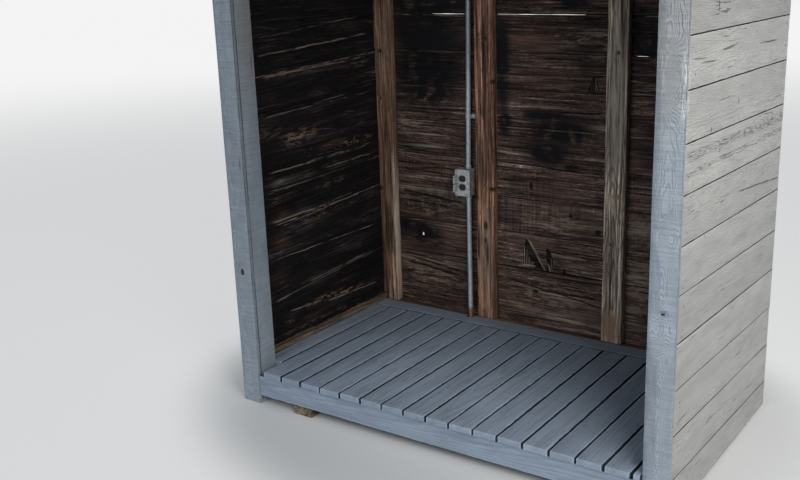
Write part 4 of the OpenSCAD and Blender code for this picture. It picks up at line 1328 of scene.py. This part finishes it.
floor()
single("border_left", "left_floor_border", (-INNER_X, BORDER_Y0, DECK_Z),
       (BORDER_X, FLOOR_Y1, FLOOR_Z), Y, Z, FLOOR_PAINT, 521, soft=0.0032,
       wander=0.0008, cup=-0.0004, lift=-0.0004, look=(0.6, 0, 0))
single("border_back", "back_floor_border", (-INNER_X, BORDER_Y1, DECK_Z),
       (INNER_X, STUD_FACE, FLOOR_Z), X, Z, FLOOR_PAINT, 522, soft=0.0032,
       wander=0.0004, high=notch, cup=-0.0004, lift=-0.0004, look=(0.5, 0, 0),
       marks=[NOTCH_AT + 0.001 * k for k in (-20, -18, -16, -14, 14, 16, 18, 20)])
single("cleat_left", "left_cleat", (-INNER_X, POST_BACK, FLOOR_Z),
       (-INNER_X + CLEAT_T, STUD_FACE, FLOOR_Z + CLEAT_H), Y, X, CLEAT, 531,
       high=ragged(0.009, 3.0), step=0.012, rough=0.0012)
single("cleat_right", "right_cleat", (INNER_X - CLEAT_T, POST_BACK, FLOOR_Z),
       (INNER_X, STUD_FACE, FLOOR_Z + CLEAT_H), Y, -X, CLEAT, 532,
       high=ragged(0.006, 6.0), step=0.012, rough=0.0012)
single("sill", "back_sill", (-INNER_X, STUD_FACE, DECK_Z), (INNER_X, BACK_IN, FLOOR_Z),
       X, Z, SILL, 533, rough=0.0012, lift=-0.0008)
for side, name in ((-1, "left"), (1, "right")):
    single("runner_" + name, "skid_" + name, (side * SKID_X - STUD_W / 2, SKID_Y0, 0.0),
           (side * SKID_X + STUD_W / 2, SKID_Y1, JOIST_Z), Y, -Z, RAW, 540 + side,
           soft=0.003, rough=0.0)
for name, node, low, high, along, out, material in (
        ("joist_front", "front_joist", (-FRONT_JOIST_X, FRONT_Y),
         (FRONT_JOIST_X, FRONT_JOIST_Y), X, -Y, FLOOR_PAINT),
        ("joist_a", "inner_joist_front", (-RIM_X, -0.158), (RIM_X, -0.12), X, -Y, RAW),
        ("joist_b", "inner_joist_back", (-RIM_X, 0.154), (RIM_X, 0.192), X, -Y, RAW),
        ("joist_back", "back_rim_joist", (-INNER_X, STUD_FACE), (INNER_X, BACK_IN), X, -Y,
         RAW),
        ("joist_left", "left_rim_joist", (-INNER_X, POST_BACK), (-RIM_X, STUD_FACE), Y, -X,
         RAW),
        ("joist_right", "right_rim_joist", (RIM_X, POST_BACK), (INNER_X, STUD_FACE), Y, X,
         RAW)):
    single(name, node, (*low, JOIST_Z), (*high, DECK_Z), along, out, material,
           len(name) * 7, soft=0.003)


# Roof

def on_slope(y, above):
    """Height of the roof boards' top, or a distance above it."""
    return rafter_top(y) + ROOF_T / LEAN + above


def roof_boards():
    """Boards along the rafters' tops, side by side down the slope."""
    boards = Boards()
    for i in range(ROOF_COUNT):
        y0 = -ROOF_Y + ROOF_PITCH * i
        width = (ROOF_PITCH if i == ROOF_COUNT - 1 else ROOF_BOARD) / LEAN
        boards.add(Vector((-ROOF_X, y0, rafter_top(y0))), X, DOWN_ROOF, Z,
                   (2 * ROOF_X, width, ROOF_T / LEAN), 600 + i, wander=0.0004, step=0.06)
    boards.build("roof_deck", [RAW], "roof_boards")


def fascias():
    """Fascias along the two eaves, and barge boards along the slope."""
    for name, y0, out, seed in (("front", -ROOF_Y, -Y, 610),
                                ("back", ROOF_Y - ROOF_T, Y, 611)):
        single("fascia_" + name, name + "_fascia",
               (-ROOF_X, y0, rafter_top(y0) - FASCIA_H),
               (ROOF_X, y0 + ROOF_T, rafter_top(y0 + ROOF_T)), X, out, TRIM_PAINT, seed,
               soft=0.0022)
    y0 = -ROOF_Y + ROOF_T
    reach = (2 * ROOF_Y - 2 * ROOF_T) / LEAN
    for name, side in (("left", -1), ("right", 1)):
        boards = Boards()
        boards.add(Vector((side * (ROOF_X - ROOF_T), y0, rafter_top(y0) - BARGE_H)),
                   DOWN_ROOF, Z, side * X, (reach, BARGE_H, ROOF_T), 620 + side,
                   soft=0.0022)
        boards.build("barge_" + name, [TRIM_PAINT], name + "_barge_board")


def covering():
    """Roll roofing in three lapped strips, folded down over the eaves."""
    work = bmesh.new()
    eave = ROOF_Y + COVER_T
    flat = 0.55 * COVER_V
    over = [(y, flat) for y in (-0.6, -0.5, -0.4, -0.3, 0.0, 0.1, 0.45, 0.55)]
    for lap in (-0.2, 0.25):
        over += [(lap, flat), (lap + 0.0015, 0.95 * COVER_V), (lap + 0.1, 0.72 * COVER_V)]
    profile = [(-eave, COVER_LIP), (-eave, flat), *sorted(over), (eave, flat),
               (eave, COVER_LIP), (ROOF_Y, COVER_LIP), (ROOF_Y, 0.0), (-ROOF_Y, 0.0),
               (-ROOF_Y, COVER_LIP)]
    steps = 44
    rows = []
    for s in range(steps + 1):
        x = -COVER_X + 2 * COVER_X * s / steps
        row = []
        for y, above in profile:
            sag = 0.0
            if above > 0.12 * COVER_V:
                sag = 0.0007 * wave(x * 5, y * 7, 3.0) - 0.0007
            edge = min(max(y, -ROOF_Y), ROOF_Y)
            row.append(work.verts.new((x, y, on_slope(edge, above) + sag)))
        rows.append(row)
    skin(work, rows)
    piece_from(work, "covering", ROOFING, "roof_covering", 30)


# Fittings

def skin(work, rings):
    """Faces between closed rings of points, and over the first and the last."""
    for a, b in zip(rings, rings[1:]):
        for k in range(len(a)):
            j = (k + 1) % len(a)
            work.faces.new((a[k], a[j], b[j], b[k]))
    work.faces.new(rings[0])
    work.faces.new(rings[-1])


def lathe(work, centre, axis, profile, sides, turn):
    """A turned shape round an axis from (radius, height) pairs, closed at its ends."""
    centre = Vector(centre)
    up = Vector(axis)
    side = up.orthogonal().normalized()
    other = up.cross(side)
    rings = []
    for radius, height in profile:
        ring = []
        for k in range(sides):
            a = turn + 2 * math.pi * k / sides
            ring.append(work.verts.new(centre + up * height + side * (
                radius * math.cos(a)) + other * (radius * math.sin(a))))
        rings.append(ring)
    skin(work, rings)


def piece_from(work, name, material, node=None, sharp=35):
    """A piece of one material, from the mesh that was worked on."""
    mesh = bpy.data.meshes.new(name)
    work.to_mesh(mesh)
    work.free()
    mesh.materials.append(material)
    finish_piece(mesh, name, node, sharp=sharp)


def dress(names, material, bevel=0.0):
    """A material for CAD nodes whose shape is right, and worn edges."""
    for name in names:
        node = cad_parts[name]
        mesh = node.data
        mesh.materials.clear()
        mesh.materials.append(material)
        low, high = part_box(name)
        size = high - low
        longest = max(range(3), key=lambda i: size[i])
        one, two = [i for i in range(3) if i != longest]
        shift = random.Random(name).uniform(0, 40)
        values = []
        for vertex in mesh.vertices:
            co = vertex.co
            values += [co[longest] + shift, co[one] - low[one] + 0.02,
                       co[two] - low[two] + 0.05]
        grain = mesh.attributes.new("grain", "FLOAT_VECTOR", "POINT")
        grain.data.foreach_set("vector", values)
        if bevel:
            worn = node.modifiers.new("worn_edges", "BEVEL")
            worn.width = bevel
            worn.segments = 2
            worn.limit_method = "ANGLE"
            worn.angle_limit = math.radians(40)
        slot_of(material)


def hubs():
    """Bosses of the box and the nuts that clamp the conduit in them."""
    for name, material, off, profile, sides, turn in (
            ("hub_bosses", BOX_METAL, 0.058,
             [(0.0138, 0.0), (0.0138, 0.01), (0.0134, 0.0115), (0.0122, 0.012)], 32, 0.0),
            ("conduit_nuts", ZINC, 0.07,
             [(0.0124, 0.0), (0.0134, 0.001), (0.0134, 0.0058), (0.0124, 0.007)], 6,
             0.3)):
        work = bmesh.new()
        for sign in (1, -1):
            lathe(work, (PIPE_X, PIPE_Y, OUTLET_Z + sign * off), (0, 0, sign), profile,
                  sides, turn)
        piece_from(work, name, material)


def screw(work, centre, radius, height, turn=0.4):
    """A slotted round screw head that looks to the front."""
    lathe(work, centre, (0, -1, 0), [(radius, 0.0), (radius, height * 0.35),
                                     (radius * 0.86, height * 0.75), (radius * 0.5, height),
                                     (radius * 0.46, height * 0.55)], 20, turn)


def outlet_details():
    """Cover screws, gasket, box seam and the lids' lips and springs."""
    face_y = BACK_IN - BOX_D - 0.003
    work = bmesh.new()
    for x, z in ((-0.0305, 0.052), (0.0305, 0.052), (-0.0305, -0.052), (0.0305, -0.052),
                 (0.0, 0.0)):
        screw(work, (OUTLET_X + x, face_y + 0.0004, OUTLET_Z + z), 0.0034, 0.002,
              x * 90 + z)
    screw(work, (PIPE_X + 0.0255, BACK_IN - 0.0012, STRAP_Z), 0.0045, 0.003)
    piece_from(work, "fitting_screws", SCREW)
    boards = Boards()
    y0, y1 = BACK_IN - BOX_D - 0.001, BACK_IN - BOX_D + 0.0008
    x0, x1 = OUTLET_X - BOX_W / 2 - 0.0006, OUTLET_X + BOX_W / 2 + 0.0006
    z0, z1 = OUTLET_Z - 0.0606, OUTLET_Z + 0.0606
    for low, high, along in (((x0, z0 + 0.004), (x0 + 0.003, z1 - 0.004), Z),
                             ((x1 - 0.003, z0 + 0.004), (x1, z1 - 0.004), Z),
                             ((x0 + 0.004, z0), (x1 - 0.004, z0 + 0.003), X),
                             ((x0 + 0.004, z1 - 0.003), (x1 - 0.004, z1), X)):
        fill(boards, (low[0], y0, low[1]), (high[0], y1, high[1]), along, -Y, 7,
             soft=0.0005, spans=2, wander=0.0001, rough=0.0001)
    boards.build("cover_gasket", [PLASTIC])
    boards = Boards()
    x, y = OUTLET_X - 0.0235, face_y - 0.0026
    for s in (-1, 1):
        z = OUTLET_Z + s * 0.0195
        for x0, x1, y0, y1, z0, z1, along, seed, soft in (
                (0.0008, 0.0052, 0.036, 0.005, -0.017, -0.0158, Y, 8, 0.0003),
                (0.0008, 0.0052, 0.036, 0.005, 0.0158, 0.017, Y, 8, 0.0003),
                (0.0008, 0.0052, 0.036, 0.0348, -0.016, 0.016, Z, 9, 0.0003),
                (0.0009, 0.0024, 0.033, 0.01, -0.012, 0.012, Z, 10, 0.0004)):
            fill(boards, (x + x0, y - y0, z + z0), (x + x1, y - y1, z + z1), along, X,
                 seed, soft=soft, spans=2, wander=0.0002, rough=0.0001)
    boards.build("lid_lips", [CAST])


roof_boards()
fascias()
covering()
dress(["left_rafter", "inner_left_rafter", "inner_right_rafter", "right_rafter"], RAW,
      0.002)
dress(["conduit", "conduit_strap"], ZINC)
dress(["outlet_box"], BOX_METAL, 0.0015)
dress(["outlet_cover", "outlet_lids"], CAST, 0.0006)
dress(["receptacle"], PLASTIC, 0.0004)
hubs()
outlet_details()


# Nails

def domes(name, places, radius, height, material, seed):
    """Small nail heads: (place, axis) each, slightly uneven in size."""
    work = bmesh.new()
    rng = random.Random(seed)
    for centre, axis in places:
        r = radius * rng.uniform(0.9, 1.1)
        lathe(work, centre, axis, [(r, -0.0004), (r, height * 0.4), (r * 0.8, height),
                                   (r * 0.3, height * 1.15)], 10, rng.uniform(0, 3))
    piece_from(work, name, material, sharp=50)


def nails():
    """Nail rows that follow the joists, studs, posts and laps."""
    rng = random.Random(808)
    joist_rows = (-0.451, -0.139, 0.173, 0.405)
    side_rows = (-0.405, 0.535)
    lap_rows = ((-0.672, 0.55), (-0.19, 0.86), (0.262, 0.86), (0.668, 0.55))
    back_top = 2.08

    def near(value, reach=0.006):
        return value + rng.uniform(-reach, reach)
    floor_nails = []
    for i in range(DECK_COUNT):
        for y in joist_rows:
            for dx in (0.02, 0.074):
                if i == DECK_COUNT - 1 and y < -0.3 and dx > 0.02:
                    continue
                floor_nails.append(((near(DECK_X0 + DECK_PITCH * i + dx), near(y),
                                     FLOOR_Z - 0.0012), Z))
    domes("floor_nails", floor_nails, 0.003, 0.0011, NAIL, 1)
    wall = []
    seams = [SIDING_BOTTOM] + [SIDE_FIRST + SIDE_PITCH * k for k in range(16)]
    for z0, z1 in zip(seams, seams[1:]):
        for y in side_rows:
            for dz in (0.28, 0.74):
                z = near(z0 + (z1 - z0) * dz)
                if z < rafter_top(y) - 0.03:
                    for side in (1, -1):
                        wall.append(((side * (OUTER_X - 0.0004), near(y, 0.004), z),
                                     side * X))
    domes("wall_nails", wall, 0.0034, 0.0006, SIDING_PAINT, 2)
    back = []
    for k in range(13):
        for x in (-CORNER_X, BROWN_X, GREY_X, CORNER_X):
            for dz in (0.045, 0.115):
                z = near(BACK_FIRST + BACK_PITCH * k + dz)
                if z < back_top:
                    back.append(((near(x), BACK_OUT - 0.001, z), Y))
    domes("back_nails", back, 0.0034, 0.001, SIDING_PAINT, 3)
    trim = [((side * (JAMB_X + dx), FRONT_Y + 0.0003, near(0.14 + 0.26 * k)), -Y)
            for side in (-1, 1) for k in range(9) for dx in (0.018, 0.068)]
    domes("trim_nails", trim, 0.0026, 0.0005, TRIM_PAINT, 4)
    roof = [((near(-0.98 + 0.098 * k), y, on_slope(y, above * COVER_V) - 0.0002),
             (0, math.sin(PITCH), LEAN))
            for y, above in lap_rows for k in range(21)]
    domes("roofing_nails", roof, 0.0045, 0.0011, ZINC, 5)


nails()


# Camera, light and stage

def add_camera():
    """The photo's viewpoint, worked out from the floor's, posts' and walls' edges."""
    data = bpy.data.cameras.new("view")
    data.sensor_width = 36
    data.lens = 45.53
    data.clip_end = 200
    camera = bpy.data.objects.new("view", data)
    right = (0.8188, 0.5731, -0.034)
    up = (-0.1313, 0.2447, 0.9607)
    back = (0.5589, -0.7821, 0.2756)
    turn = Matrix((right, up, back)).transposed().to_4x4()
    camera.matrix_world = Matrix.Translation((1.8971, -3.2496, 1.7845)) @ turn
    bpy.context.scene.collection.objects.link(camera)
    bpy.context.scene.camera = camera


def add_area(name, place, target, size, power, colour, spread=180):
    """A soft square lamp whose light stays inside spread degrees."""
    data = bpy.data.lights.new(name, "AREA")
    data.spread = math.radians(spread)
    data.shape = "RECTANGLE"
    data.size = size
    data.size_y = size
    data.energy = power
    data.color = colour
    lamp = bpy.data.objects.new(name, data)
    lamp.location = place
    aim = Vector(target) - Vector(place)
    lamp.rotation_euler = aim.to_track_quat("-Z", "Y").to_euler()
    lamp.visible_camera = False
    bpy.context.scene.collection.objects.link(lamp)


def mixed_where_seen(tree, plain, shown, share, target):
    """Camera, mirror and glass rays get a share of the shown shader, others none."""
    path = tree.nodes.new("ShaderNodeLightPath").outputs
    seen = tree.most(tree.most(path["Is Camera Ray"], path["Is Glossy Ray"]),
                     path["Is Transmission Ray"])
    tree.put(target.inputs["Surface"],
             tree.node("MixShader", tree.times(seen, share), plain, shown))


def add_world():
    """Soft light all round, and a plain pale background where it is looked at."""
    world = bpy.data.worlds.new("studio")
    tree = Tree(world)
    soft = tree.nodes["Background"]
    tree.put(soft.inputs["Color"], (0.84, 0.92, 1.0))
    tree.put(soft.inputs["Strength"], 0.34)
    seen = tree.node("Background", BACKDROP, 1.0)
    mixed_where_seen(tree, soft.outputs[0], seen, 1.0, tree.nodes["World Output"])
    bpy.context.scene.world = world


def add_stage():
    """A plain pale floor that keeps the object's shadow."""
    mesh = bpy.data.meshes.new("studio_floor")
    work = bmesh.new()
    bmesh.ops.create_grid(work, x_segments=8, y_segments=8, size=60)
    work.to_mesh(mesh)
    work.free()
    tree = surface("studio_floor")
    tree.put(tree.shader.inputs["Base Color"], (0.8, 0.8, 0.79))
    tree.put(tree.shader.inputs["Roughness"], 0.9)
    pale = tree.node("Emission", BACKDROP)
    under = tree.spots([((0, 0.05, 0), (1.6, 1.3, 1.0))], 0.6)
    near = tree.spots([((0, 0, 0), (16, 16, 16))], 0.2)
    share = tree.times(tree.ease(under, 0.0, 1.0, 1.0, 0.0),
                       tree.ease(near, 0.0, 1.0, 1.0, 0.6))
    mixed_where_seen(tree, tree.shader.outputs[0], pale, share,
                     tree.nodes["Material Output"])
    mesh.materials.append(tree.owner)
    ground = bpy.data.objects.new("studio_floor", mesh)
    bpy.context.scene.collection.objects.link(ground)
    ground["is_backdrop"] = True


add_camera()
add_world()
add_area("key", (2.9, -1.9, 2.4), (1.0, 0.1, 1.0), 2.2, 22.5, (1.0, 0.98, 0.95), 70)
add_area("front", (-0.8, -4.2, 2.4), (0, 0.3, 0.6), 2.6, 35, (0.88, 0.94, 1.0))
add_stage()
bpy.context.scene.view_settings.view_transform = "Standard"

low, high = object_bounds()
({"cad": [list(cad_low), list(cad_high)],
           "visual": [list(low), list(high)]})
